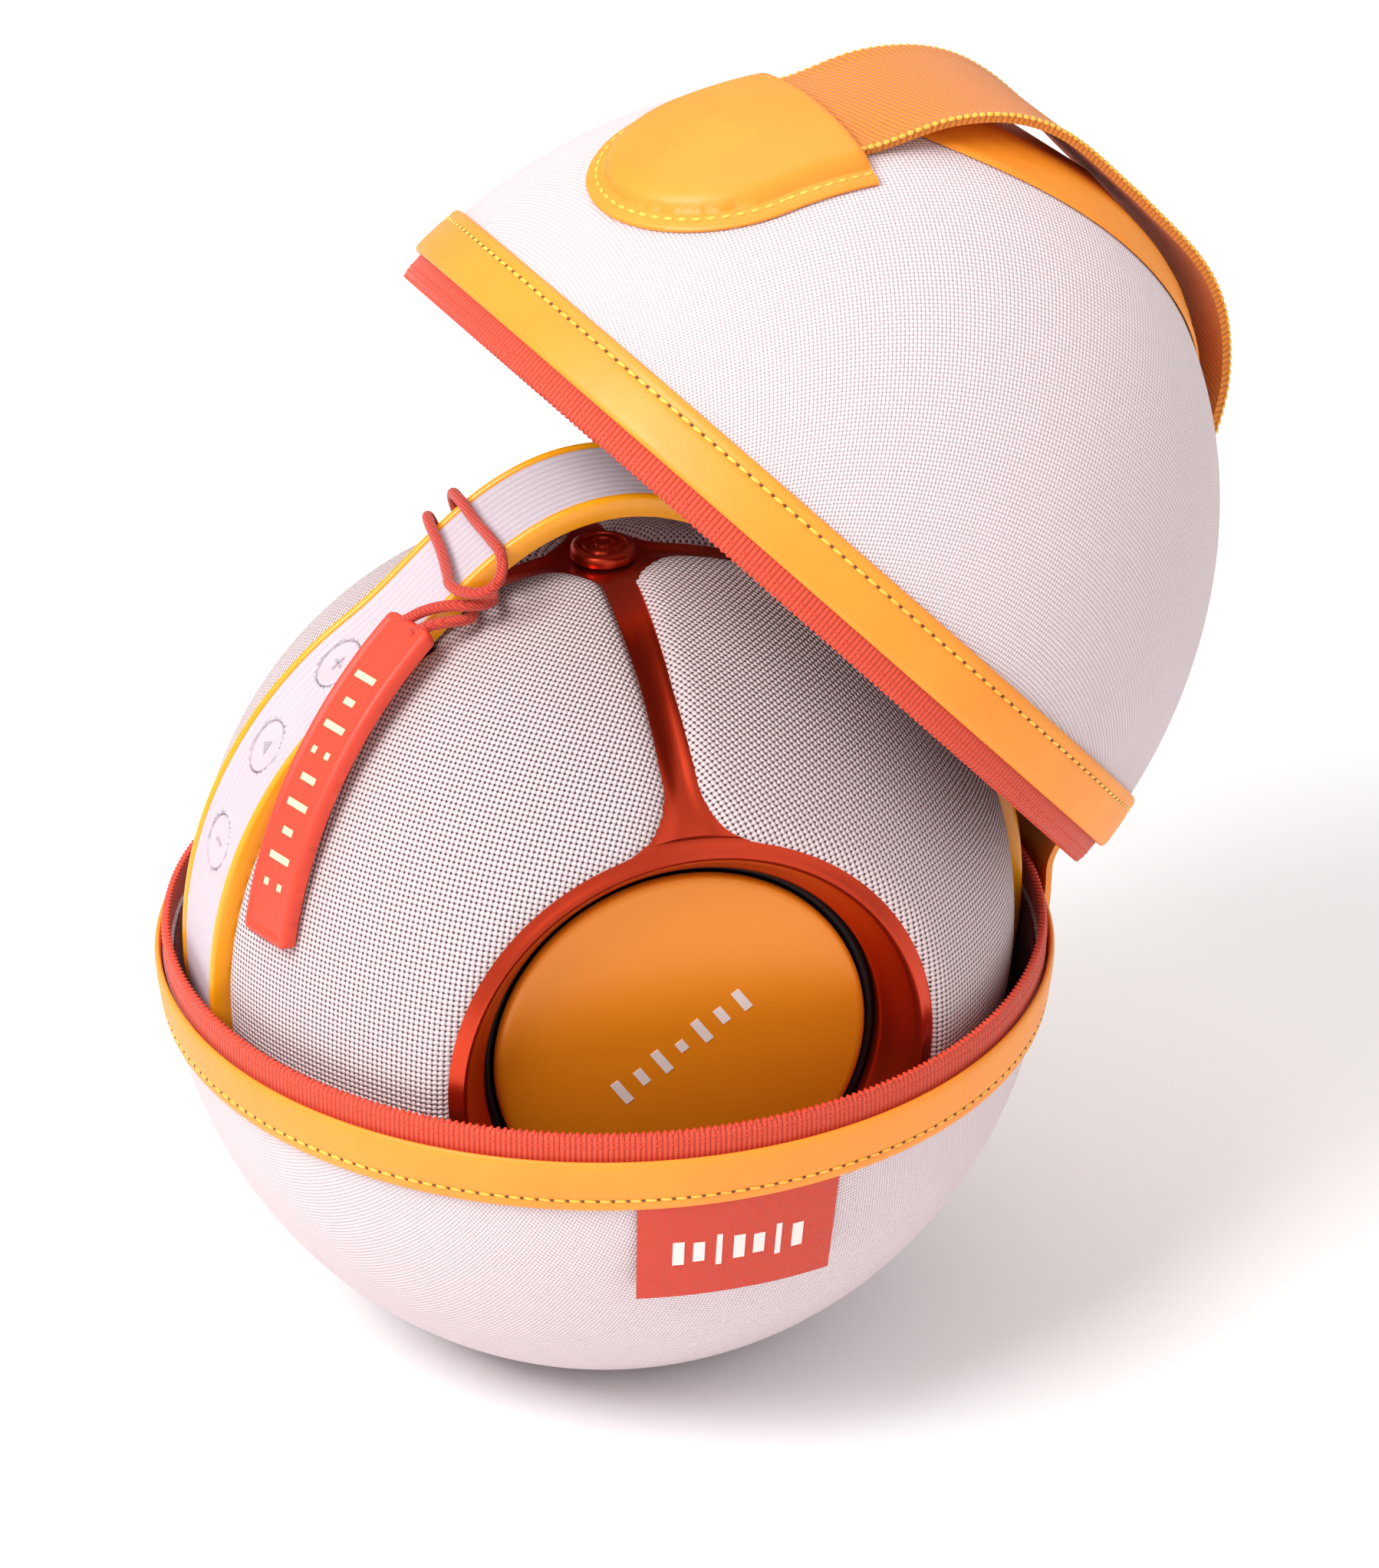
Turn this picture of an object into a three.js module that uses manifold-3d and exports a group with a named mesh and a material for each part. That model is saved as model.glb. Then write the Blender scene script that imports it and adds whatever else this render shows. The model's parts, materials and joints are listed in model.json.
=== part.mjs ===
// A ball-shaped battery loudspeaker in its open, zip-round carrying case.
//
// Millimetres, +Z up. The origin is the middle of the case's flat foot, on the floor.
// +X is the side of the case's hinge, -Y the side of the label and the front woofer.
import * as THREE from 'three';
import { mergeVertices } from 'three/addons/utils/BufferGeometryUtils.js';
import Module from 'manifold-3d';

const wasm = await Module();
wasm.setup();

// ---------------------------------------------------------------- driving dimensions

const GAP = 0.3;                 // between pieces that touch on the real object
const DEGREE = Math.PI / 180;

// the speaker's ball
const BALL_R = 85.8;             // crown of the cloth panels
const FRAME_DROP = 1.2;          // metal cross frame below the cloth's crown
const HOUSING_DROP = 5.4;        // housing's outside below the cloth's crown
const HOUSING_WALL = 2.8;
const RIB_WIDTH = 8;             // of the cross frame's ribs
const SPEAKER_YAW = -12;         // degrees, the front woofer turned towards the case's front
const FOOT_DROP = 3.7;           // foot's tread below the cloth's crown
const BASE_PLATE_R = 35.5;
const COLLAR_WIDTH = 3;          // of the cross frame, round the base plate
const FOOT_RING_R = 29;
const FOOT_RING_WIDTH = 9;
const FOOT_RING_HEIGHT = 3;
const BOSS_R = 6.8;
const BOSS_SEAT = 2.4;           // of the cross frame, round the boss

// woofers, one on each side
const DISC_R = 39.5;
const DISC_T = 2.6;
const DISC_RECESS = 9.5;         // disc's face below the ring's lip
const DISC_TRAVEL = 3.5;
const DISC_CLEARANCE = 2.6;      // round the disc, in the ring's throat
const RING_WIDTH = 13;           // ring's outside beyond the disc's edge
const RING_LAND = 3.2;           // bright land between the ring's outside and its lip
const FORMER_R = 17;
const MAGNET_R = 28;

// side drivers, behind the cloth
const DRIVER_R = 18;
const DRIVER_MAGNET_R = 12;
const DRIVER_DEPTH = 18;
const DRIVER_AZIMUTH = 28;       // degrees from the handle's plane

// electronics between the woofers
const PACK_HALF = 13;            // half thickness of what lies between the two motors
const BATTERY_LENGTH = 64;
const BATTERY_HEIGHT = 22;
const BRACKET_Z = -24;
const BRACKET_T = 1.5;
const BOARD_LENGTH = 60;
const BOARD_T = 1.6;

// handle over the top
const HANDLE_PROUD = 2.2;        // handle's face above the cloth's crown where it lies on the ball
const HANDLE_RISE = 15.5;        // extra height at the top of the arch
const HANDLE_SPAN = 36;          // degrees from the top where the arch meets the ball
const HANDLE_END = 130;          // degrees from the top where the band ends
const HANDLE_WIDTH = 26;
const HANDLE_T = 4.6;
const SKIN_T = 1.6;              // ribbed silicone skin
const TRIM_WIDTH = 1.8;          // piping along each edge
const TRIM_PROUD = 0.2;
const BUTTON_R = 5.7;
const BUTTON_T = 2.9;
const BUTTON_CLEARANCE = 0.35;
const VOLUME_ANGLES = { volume_down_button: -70.7, play_button: -55.3, volume_up_button: -40.2 };
const POWER_ANGLES = { power_button: 44, pairing_button: 60 };
const SOCKET_ANGLE = 105;
const SOCKET_SIZE = [9.4, 4.2];

// tag on its cord loop
const TAG_WIDTH = 14;
const TAG_T = 4;
const TAG_OVER_HANDLE = 3.2;     // tag's back face above the handle's, at its upper end
const TAG_TOP = new THREE.Vector3(-0.499, -0.165, 0.851).normalize();
const TAG_FOOT = new THREE.Vector3(-0.903, -0.348, 0.251).normalize();
const CORD_R = 1.2;

// carrying case
const CASE_CLEARANCE = 1.1;      // round the handle's edges
const LID_CLEARANCE = 1.8;       // over the handle
const LINING_T = 0.6;
const SHELL_T = 2.3;
const RIM_ABOVE_CENTRE = 0.5;    // zip plane above the ball's centre
const BASE_SWELL = 5.5;          // what the flattened foot takes off the base's full curve
const TAPE_WIDTH = 7;
const TAPE_T = 1.6;
const BAND_WIDTH = 12;
const BAND_T = 1.3;
const LID_OPEN = 48;             // degrees
const LEAF_WIDTH = 58;
const LEAF_LENGTH = 27;
const LEAF_T = 1.3;
const LABEL_WIDTH = 44;
const LABEL_HEIGHT = 24;
const LABEL_T = 0.7;
const LABEL_AZIMUTH = -10;       // degrees from -Y, towards the case's front

// strap on the lid
const STRAP_WIDTH = 38;
const STRAP_T = 1.8;
const STRAP_BULGE = 4.2;
const STRAP_SPAN = 50;           // degrees from the pole to the strap's end, inside its tab
const TAB_START = 42;            // degrees from the pole to the tab's straight edge
const TAB_LENGTH = 50;
const TAB_WIDTH = 57;
const TAB_T = 4.2;
const SADDLE_LENGTH = 120;
const SADDLE_WIDTH = 65;
const SADDLE_T = 2.2;

// zip slider
const SLIDER_AZIMUTH = 28;       // degrees from the hinge, on the far side
const SLIDER_WIDTH = 9;
const SLIDER_HEIGHT = 9;
const SLIDER_T = 3.6;
const PULLER_WIDTH = 8;
const PULLER_LENGTH = 34;
const PULLER_T = 2.2;

// facets round a full turn
const CASE_FACETS = 32;
const BALL_FACETS = 24;
const WOOFER_FACETS = 24;
const SMALL_FACETS = 12;

// ---------------------------------------------------------------- sizes that follow

const FRAME_R = BALL_R - FRAME_DROP;
const HOUSING_R = BALL_R - HOUSING_DROP;
const HOUSING_IN = HOUSING_R - HOUSING_WALL;
const HANDLE_R = BALL_R + HANDLE_PROUD;
const HANDLE_TOP = HANDLE_R + HANDLE_RISE;
const TAG_TOP_R = HANDLE_R + TAG_OVER_HANDLE;
const TAG_FOOT_R = BALL_R + GAP;
const TREAD = BALL_R + FOOT_DROP;

const RING_R = DISC_R + RING_WIDTH;
const LIP_R = RING_R - RING_LAND;
const THROAT_R = DISC_R + DISC_CLEARANCE;
const RING_EDGE_Y = Math.sqrt(FRAME_R ** 2 - RING_R ** 2);
const LIP_Y = Math.sqrt(FRAME_R ** 2 - LIP_R ** 2);
const DISC_Y = LIP_Y - DISC_RECESS;

const WALL = SHELL_T + GAP + LINING_T;
const CASE_R = Math.hypot(HANDLE_R + TRIM_PROUD, HANDLE_WIDTH / 2) + CASE_CLEARANCE + WALL;
const CENTRE_Z = WALL + GAP + TREAD;
const RIM_Z = CENTRE_Z + RIM_ABOVE_CENTRE;
const BASE_CURVE = RIM_Z + BASE_SWELL;
const LID_HEIGHT = HANDLE_TOP - RIM_ABOVE_CENTRE + LID_CLEARANCE + WALL;
const LEAF_OUT = BAND_T + GAP + LEAF_T + GAP;
const HINGE_X = CASE_R + LEAF_OUT + GAP;

const fabric = { color: 0xebdee2, roughness: 0.9, metalness: 0 };
const cloth = { color: 0xd9c6cb, roughness: 0.95, metalness: 0 };
const orangeLeather = { color: 0xf9a23a, roughness: 0.5, metalness: 0 };
const webbing = { color: 0xf09a36, roughness: 0.8, metalness: 0 };
const redTape = { color: 0xee5a3c, roughness: 0.8, metalness: 0 };
const lining = { color: 0x7c2a22, roughness: 0.85, metalness: 0 };
const redMetal = { color: 0xa8371c, roughness: 0.3, metalness: 0.9 };
const satinOrange = { color: 0xf0882a, roughness: 0.35, metalness: 0.2 };
const blackRubber = { color: 0x151213, roughness: 0.7, metalness: 0 };
const lilacSilicone = { color: 0xdcd0d8, roughness: 0.6, metalness: 0 };
const orangePiping = { color: 0xfc9f12, roughness: 0.4, metalness: 0 };
const redRubber = { color: 0xe8553a, roughness: 0.6, metalness: 0 };
const darkPlastic = { color: 0x3a3436, roughness: 0.6, metalness: 0 };
const steel = { color: 0xb5b6b8, roughness: 0.35, metalness: 1 };
const brass = { color: 0xc9a253, roughness: 0.3, metalness: 1 };
const boardGreen = { color: 0x2c5a3c, roughness: 0.6, metalness: 0 };
const cellBlue = { color: 0x3a5f8c, roughness: 0.5, metalness: 0 };

// ---------------------------------------------------------------- solids

// A closed geometry as a solid: shared vertices merged, triangles without area left out.
function solid(geometry) {
  const bare = geometry.clone();
  bare.deleteAttribute('normal');
  bare.deleteAttribute('uv');
  const merged = mergeVertices(bare, 1e-4);
  const index = merged.index.array;
  const kept = [];
  for (let i = 0; i < index.length; i += 3) {
    const [a, b, c] = [index[i], index[i + 1], index[i + 2]];
    if (a !== b && b !== c && c !== a) kept.push(a, b, c);
  }
  const vertProperties = new Float32Array(merged.attributes.position.array);
  const made = new wasm.Manifold(new wasm.Mesh({ numProp: 3, vertProperties, triVerts: new Uint32Array(kept) }));
  if (made.volume() < 0) throw new Error('a solid is inside out');
  return made;
}

function geometryOf(body) {
  const { vertProperties, triVerts } = body.getMesh();
  const geometry = new THREE.BufferGeometry();
  geometry.setAttribute('position', new THREE.BufferAttribute(new Float32Array(vertProperties), 3));
  geometry.setIndex(new THREE.BufferAttribute(new Uint32Array(triVerts), 1));
  geometry.computeVertexNormals();
  return geometry;
}

// A box between two corners.
function block(low, high) {
  const size = high.map((v, i) => v - low[i]);
  const middle = high.map((v, i) => (v + low[i]) / 2);
  return solid(new THREE.BoxGeometry(...size).translate(...middle));
}

// A profile of [radius, height] turned about +Z, whichever way round it is listed.
function turned(profile, facets) {
  let area = 0;
  profile.forEach(([r, z], i) => {
    const [r2, z2] = profile[(i + 1) % profile.length];
    area += r * z2 - r2 * z;
  });
  const points = (area > 0 ? profile : [...profile].reverse()).map(([r, z]) => new THREE.Vector2(r, z));
  const onAxis = points[0].x === 0 && points[points.length - 1].x === 0;
  if (!onAxis) points.push(points[0].clone());
  return solid(new THREE.LatheGeometry(points, facets).rotateX(Math.PI / 2));
}

function rod(radius, low, high, facets = SMALL_FACETS) {
  return turned([[0, low], [radius, low], [radius, high], [0, high]], facets);
}

// A solid made about +Z, turned so that +Z points along a direction.
function aimed(body, direction) {
  const turn = new THREE.Quaternion().setFromUnitVectors(new THREE.Vector3(0, 0, 1), direction);
  return body.transform(new THREE.Matrix4().makeRotationFromQuaternion(turn).elements);
}

function ball(radius) {
  return solid(new THREE.SphereGeometry(radius, BALL_FACETS, BALL_FACETS / 2).rotateX(Math.PI / 2));
}

function shellOf(inner, outer) {
  return ball(outer).subtract(ball(inner));
}

// A slice of a profile in the XZ plane, drawn out along Y to a width.
function slab(outline, width, yMiddle = 0) {
  const shape = new THREE.Shape(outline.map(([x, z]) => new THREE.Vector2(x, z)));
  const drawn = new THREE.ExtrudeGeometry(shape, { depth: width, bevelEnabled: false });
  return solid(drawn.rotateX(Math.PI / 2).translate(0, yMiddle + width / 2, 0));
}

const model = new THREE.Group();

function add(parent, name, body, look) {
  const mesh = new THREE.Mesh(geometryOf(body), new THREE.MeshStandardMaterial(look));
  mesh.name = name;
  parent.add(mesh);
}

// ---------------------------------------------------------------- carrying case

// Radius of a dome's outside at a distance from the zip plane.
function domeRadius(distance, height, offset = 0) {
  return (CASE_R + offset) * Math.sqrt(1 - (distance / (height + offset)) ** 2);
}

// Outline of a dome's wall from its pole to a distance from the zip plane, then back inside it.
function domeWall(height, outer, inner, from) {
  const steps = 8;
  const outline = (offset) => {
    const start = Math.asin(from / (height + offset));
    return Array.from({ length: steps + 1 }, (_, i) => {
      const angle = start + (Math.PI / 2 - start) * (i / steps);
      const radius = i === steps ? 0 : (CASE_R + offset) * Math.cos(angle);
      return [radius, (height + offset) * Math.sin(angle)];
    });
  };
  return [...outline(outer).reverse(), ...outline(inner)];
}

// A strip that follows the dome's outside between two distances from the zip plane.
function domeStrip(height, inner, outer, from, to) {
  const steps = 2;
  const along = Array.from({ length: steps + 1 }, (_, i) => from + (to - from) * (i / steps));
  const side = (offset) => along.map((d) => [domeRadius(d, height) + offset, d]);
  return [...side(outer), ...side(inner).reverse()];
}

const below = (profile) => profile.map(([r, z]) => [r, -z]);

const tapeTop = GAP / 2;
const shellTop = TAPE_WIDTH + GAP;
const bandTop = TAPE_WIDTH - 0.8;
const bandEnd = bandTop + BAND_WIDTH;

// The pieces that both halves of the case have, in profile, measured away from the zip plane.
function halfPieces(height) {
  return {
    shell: domeWall(height, 0, -SHELL_T, shellTop),
    lining: domeWall(height, -SHELL_T - GAP, -WALL, shellTop),
    tape: [
      [CASE_R - GAP - TAPE_T, tapeTop], [CASE_R - GAP, tapeTop],
      [CASE_R - GAP, TAPE_WIDTH], [CASE_R - GAP - TAPE_T, TAPE_WIDTH],
    ],
    band: domeStrip(height, GAP, GAP + BAND_T, bandTop, bandEnd),
    leaf: domeStrip(height, 2 * GAP + BAND_T, LEAF_OUT, tapeTop + GAP, LEAF_LENGTH),
  };
}

const leafWindow = block([0, -LEAF_WIDTH / 2, -LEAF_LENGTH - 1], [HINGE_X + 5, LEAF_WIDTH / 2, LEAF_LENGTH + 1]);

const base = new THREE.Group();
base.position.z = RIM_Z;
model.add(base);

const basePieces = halfPieces(BASE_CURVE);
function flattened(body, level) {
  const reach = 2 * CASE_R;
  return body.subtract(block([-reach, -reach, -reach], [reach, reach, level - RIM_Z]));
}
// The outer skin of a dome with its hollow, both flattened at their own levels.
function bowl(outer, inner, from, low, high) {
  const full = (offset) => {
    const wall = domeWall(BASE_CURVE, offset, -CASE_R / 2, 0);
    return turned(below([...wall.slice(0, wall.length / 2), [0, 0]]), CASE_FACETS);
  };
  const cup = flattened(full(outer), low).subtract(flattened(full(inner), high));
  const reach = 2 * CASE_R;
  return cup.subtract(block([-reach, -reach, -from], [reach, reach, reach]));
}
add(base, 'base_shell', bowl(0, -SHELL_T, shellTop, 0, SHELL_T), fabric);
add(base, 'base_lining', bowl(-SHELL_T - GAP, -WALL, shellTop, SHELL_T + GAP, WALL), lining);
add(base, 'base_zip_tape', turned(below(basePieces.tape), CASE_FACETS), redTape);
add(base, 'base_band', turned(below(basePieces.band), CASE_FACETS), orangeLeather);
add(base, 'hinge_leaf_base', turned(below(basePieces.leaf), CASE_FACETS).intersect(leafWindow), orangeLeather);

const labelTop = bandEnd + GAP;
const labelStrip = turned(
  below(domeStrip(BASE_CURVE, GAP, GAP + LABEL_T, labelTop, labelTop + LABEL_HEIGHT)), 2 * CASE_FACETS);
const labelWindow = block([-LABEL_WIDTH / 2, -2 * CASE_R, -CASE_R], [LABEL_WIDTH / 2, 0, 0])
  .rotate([0, 0, LABEL_AZIMUTH]);
add(base, 'woven_label', labelStrip.intersect(labelWindow), redRubber);

// The lid's own frame has its zip plane at z = 0; it hangs on the hinge line and turns about it.
const lidHinge = new THREE.Group();
lidHinge.position.set(HINGE_X, 0, RIM_Z);
lidHinge.rotation.y = LID_OPEN * DEGREE;
model.add(lidHinge);
const lid = new THREE.Group();
lid.position.x = -HINGE_X;
lidHinge.add(lid);

const lidPieces = halfPieces(LID_HEIGHT);
add(lid, 'lid_shell', turned(lidPieces.shell, CASE_FACETS), fabric);
add(lid, 'lid_lining', turned(lidPieces.lining, CASE_FACETS), lining);
add(lid, 'lid_zip_tape', turned(lidPieces.tape, CASE_FACETS), redTape);
add(lid, 'lid_band', turned(lidPieces.band, CASE_FACETS), orangeLeather);
add(lid, 'hinge_leaf_lid', turned(lidPieces.leaf, CASE_FACETS).intersect(leafWindow), orangeLeather);

// Point of the lid's meridian towards +X at an angle from the pole, raised off the dome.
function meridian(angle, raised) {
  const turn = angle * DEGREE;
  return [(CASE_R + raised) * Math.sin(turn), (LID_HEIGHT + raised) * Math.cos(turn)];
}

function strapRaise(angle) {
  const away = Math.min(Math.abs(angle) / TAB_START, 1);
  const rest = GAP + (SADDLE_T + GAP) * (1 - away);
  return rest + STRAP_BULGE * Math.sin(Math.PI * away) ** 2 + GAP;
}

function strapOutline(extra) {
  const steps = 24;
  const angles = Array.from({ length: steps + 1 }, (_, i) => -STRAP_SPAN + (2 * STRAP_SPAN * i) / steps);
  const top = angles.map((a) => meridian(a, strapRaise(a) + STRAP_T + extra));
  const bottom = angles.map((a) => meridian(a, strapRaise(a) - extra));
  return [...bottom, ...top.reverse()];
}

add(lid, 'carry_strap', slab(strapOutline(0), STRAP_WIDTH), webbing);

function domeSkin(inner, outer) {
  const dome = (offset) => {
    const wall = domeWall(LID_HEIGHT, offset, -CASE_R / 2, shellTop);
    return turned([...wall.slice(0, wall.length / 2), [0, shellTop]], CASE_FACETS);
  };
  return dome(outer).subtract(dome(inner));
}

// A D-shaped pad: straight towards the pole, round towards the zip.
function tabPrism(side) {
  const half = TAB_WIDTH / 2;
  const shape = new THREE.Shape();
  shape.moveTo(0, -half);
  shape.lineTo(TAB_LENGTH - half, -half);
  shape.absarc(TAB_LENGTH - half, 0, half, -Math.PI / 2, Math.PI / 2, false);
  shape.lineTo(0, half);
  const drawn = new THREE.ExtrudeGeometry(shape, { depth: CASE_R, bevelEnabled: false, curveSegments: 6 });
  const [x, z] = meridian(TAB_START, 0);
  const [x2, z2] = meridian(TAB_START + 1, 0);
  const slope = Math.atan2(z - z2, x2 - x);
  const lie = slope + (TAB_LENGTH / 2 / CASE_R);
  drawn.translate(0, 0, -CASE_R / 2).rotateY(lie).translate(x, 0, z);
  if (side < 0) drawn.rotateZ(Math.PI);
  return solid(drawn);
}

const tabSkin = domeSkin(GAP, GAP + TAB_T);
const strapTunnel = slab(strapOutline(GAP), STRAP_WIDTH + 2 * GAP);
add(lid, 'strap_tab_front', tabSkin.intersect(tabPrism(-1)).subtract(strapTunnel), orangeLeather);
add(lid, 'strap_tab_rear', tabSkin.intersect(tabPrism(1)).subtract(strapTunnel), orangeLeather);

const saddlePrism = rod(1, 0, 2 * LID_HEIGHT, 24).scale([SADDLE_LENGTH / 2, SADDLE_WIDTH / 2, 1]);
const saddleSkin = domeSkin(GAP, GAP + SADDLE_T);
add(lid, 'strap_saddle', saddleSkin.intersect(saddlePrism).subtract(strapTunnel), orangeLeather);

// Slider on the zip's outside, between the two bands, with its puller hanging from it.
const slider = new THREE.Group();
slider.position.z = RIM_Z;
slider.rotation.z = SLIDER_AZIMUTH * DEGREE;
model.add(slider);
const sliderIn = CASE_R + GAP;
const sliderOut = sliderIn + SLIDER_T;
const sliderBody = block(
  [sliderIn, -SLIDER_WIDTH / 2, -SLIDER_HEIGHT / 2], [sliderOut, SLIDER_WIDTH / 2, SLIDER_HEIGHT / 2]);
add(slider, 'zip_slider', sliderBody, steel);
const pullerIn = sliderOut + 2 * GAP;
const pullerTop = 1;
const pullerBody = block(
  [pullerIn, -PULLER_WIDTH / 2, pullerTop - PULLER_LENGTH], [pullerIn + PULLER_T, PULLER_WIDTH / 2, pullerTop]);
add(slider, 'zip_puller', pullerBody, orangeLeather);

// ---------------------------------------------------------------- speaker

const speaker = new THREE.Group();
speaker.position.z = CENTRE_Z;
speaker.rotation.z = SPEAKER_YAW * DEGREE;
model.add(speaker);

const FRONT = new THREE.Vector3(0, -1, 0);
const REAR = new THREE.Vector3(0, 1, 0);
const FAR = 2 * BALL_R;

// Handle's face, from the ball's centre, at an angle from the top in the XZ plane.
function handleFace(angle) {
  const away = Math.min(Math.abs(angle) / HANDLE_SPAN, 1);
  return HANDLE_R + (HANDLE_RISE * (1 + Math.cos(Math.PI * away))) / 2;
}

function handleArc(down, up, width, yMiddle = 0) {
  const steps = 40;
  const angles = Array.from({ length: steps + 1 }, (_, i) => -HANDLE_END + (2 * HANDLE_END * i) / steps);
  const side = (offset) => angles.map((a) => {
    const r = handleFace(a) + offset;
    return [r * Math.sin(a * DEGREE), r * Math.cos(a * DEGREE)];
  });
  return slab([...side(down), ...side(up).reverse()], width, yMiddle);
}

// Where the arch's underside clears the cloth: inside it the ball is whole, outside it has a channel.
const landing = BALL_R + GAP + HANDLE_T;
const landingAngle = (HANDLE_SPAN / 180) * Math.acos((2 * (landing - HANDLE_R)) / HANDLE_RISE - 1);
const channelX = landing * Math.sin(landingAngle) - 1;
const channelEndZ = HANDLE_R * Math.cos(HANDLE_END * DEGREE) - 3.4;

function channel(half, x, z) {
  return block([-FAR, -half, z], [-x, half, FAR]).add(block([x, -half, z], [FAR, half, FAR]));
}
const handleChannel = channel(HANDLE_WIDTH / 2 + GAP, channelX, channelEndZ);

const wooferBore = (radius) => rod(radius, -FAR, FAR, WOOFER_FACETS).rotate([90, 0, 0]);
const footBore = (radius) => rod(radius, -FAR, 0, CASE_FACETS);

// Directions of the four side drivers.
const driverDirections = [[1, 1], [-1, 1], [-1, -1], [1, -1]].map(([sx, sy]) => new THREE.Vector3(
  sx * Math.cos(DRIVER_AZIMUTH * DEGREE), sy * Math.sin(DRIVER_AZIMUTH * DEGREE), 0));

// housing: two cups that meet between the woofers
let housing = shellOf(HOUSING_IN, HOUSING_R).subtract(wooferBore(RING_R + GAP));
for (const direction of driverDirections) {
  housing = housing.subtract(aimed(rod(DRIVER_R - 3, 0, FAR), direction));
}
add(speaker, 'housing_front', housing.intersect(block([-FAR, -FAR, -FAR], [FAR, -GAP / 2, FAR])), darkPlastic);
add(speaker, 'housing_rear', housing.intersect(block([-FAR, GAP / 2, -FAR], [FAR, FAR, FAR])), darkPlastic);

// metal cross frame: two rings of ribs that cross at the top, with a low bed under the handle
const ribs = block([-RIB_WIDTH / 2, -FAR, -FAR], [RIB_WIDTH / 2, FAR, FAR])
  .add(block([-FAR, -RIB_WIDTH / 2, -FAR], [FAR, RIB_WIDTH / 2, FAR]));
const bed = shellOf(HOUSING_R + GAP, HANDLE_R - HANDLE_T - GAP)
  .intersect(channel(HANDLE_WIDTH / 2, channelX - 1, channelEndZ - 1));
const collarR = BASE_PLATE_R + GAP + COLLAR_WIDTH;
const topBore = (radius) => rod(radius, 0, FAR, WOOFER_FACETS);
const framePlan = ribs.add(footBore(collarR)).add(topBore(BOSS_R + BOSS_SEAT));
const crossFrame = shellOf(HOUSING_R + GAP, FRAME_R).intersect(framePlan).subtract(handleChannel).add(bed)
  .subtract(wooferBore(RING_R + GAP)).subtract(footBore(BASE_PLATE_R + GAP));
add(speaker, 'cross_frame', crossFrame, redMetal);

// four cloth panels, one in each quarter between the ribs
const panelSkin = shellOf(HOUSING_R + GAP, BALL_R)
  .subtract(handleChannel).subtract(wooferBore(RING_R + GAP)).subtract(footBore(collarR + GAP))
  .subtract(topBore(BOSS_R + BOSS_SEAT + GAP));
const ribEdge = RIB_WIDTH / 2 + GAP;
const quarters = {
  panel_front_left: [[-FAR, -FAR, -FAR], [-ribEdge, -ribEdge, FAR]],
  panel_front_right: [[ribEdge, -FAR, -FAR], [FAR, -ribEdge, FAR]],
  panel_rear_left: [[-FAR, ribEdge, -FAR], [-ribEdge, FAR, FAR]],
  panel_rear_right: [[ribEdge, ribEdge, -FAR], [FAR, FAR, FAR]],
};
const bedEdge = channel(HANDLE_WIDTH / 2 + GAP, channelX - 1 - GAP, channelEndZ - 1 - GAP);
for (const [name, [low, high]] of Object.entries(quarters)) {
  add(speaker, name, panelSkin.intersect(block(low, high)).subtract(bedEdge), cloth);
}

add(speaker, 'top_boss', turned([
  [0, FRAME_R + GAP], [BOSS_R, FRAME_R + GAP], [BOSS_R, BALL_R + 0.8], [BOSS_R - 0.9, BALL_R + 1.5],
  [0, BALL_R + 1.5],
], SMALL_FACETS), redMetal);

// woofer, made about +Z with its face outwards, then aimed at each side
const ringBack = DISC_Y - 4.5;
const basketFront = DISC_Y - DISC_T - DISC_TRAVEL - 3.2;
const motorBack = PACK_HALF + 4;
const slotBottom = motorBack + 5;
const formerEnd = slotBottom + DISC_TRAVEL + 1;
const wooferPieces = {
  ring: [[
    [RING_R, ringBack], [RING_R, RING_EDGE_Y], [LIP_R, LIP_Y], [LIP_R - 1.5, LIP_Y + 0.5],
    [THROAT_R + 1, DISC_Y + 1.5], [THROAT_R, DISC_Y - 1], [THROAT_R, ringBack],
  ], redMetal],
  surround: [[
    [DISC_R - 7, basketFront + GAP], [THROAT_R - 1, basketFront + GAP], [THROAT_R - 1, basketFront + 1.4],
    [DISC_R - 2.5, basketFront + 2.6], [DISC_R - 7, basketFront + 1.4],
  ], blackRubber],
  disc: [[
    [0, DISC_Y - DISC_T], [FORMER_R - 1.5, DISC_Y - DISC_T], [FORMER_R - 1.5, formerEnd],
    [FORMER_R, formerEnd], [FORMER_R, DISC_Y - DISC_T], [DISC_R - 0.6, DISC_Y - DISC_T],
    [DISC_R, DISC_Y - 1.6], [DISC_R, DISC_Y - 0.6], [DISC_R - 0.9, DISC_Y], [0, DISC_Y],
  ], satinOrange],
  motor: [[
    [0, motorBack], [MAGNET_R, motorBack], [MAGNET_R, basketFront - 7], [DISC_R - 1, basketFront - 2.4],
    [THROAT_R - 1, basketFront - 2], [THROAT_R - 1, basketFront], [DISC_R - 4, basketFront],
    [MAGNET_R - 3, basketFront - 4.5], [FORMER_R + 1, basketFront - 4.5], [FORMER_R + 1, slotBottom],
    [FORMER_R - 2.5, slotBottom], [FORMER_R - 2.5, basketFront - 2], [0, basketFront - 2],
  ], steel],
};
for (const [side, direction] of Object.entries({ front: FRONT, rear: REAR })) {
  for (const [piece, [profile, look]] of Object.entries(wooferPieces)) {
    add(speaker, `woofer_${piece}_${side}`, aimed(turned(profile, WOOFER_FACETS), direction), look);
  }
}

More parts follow.
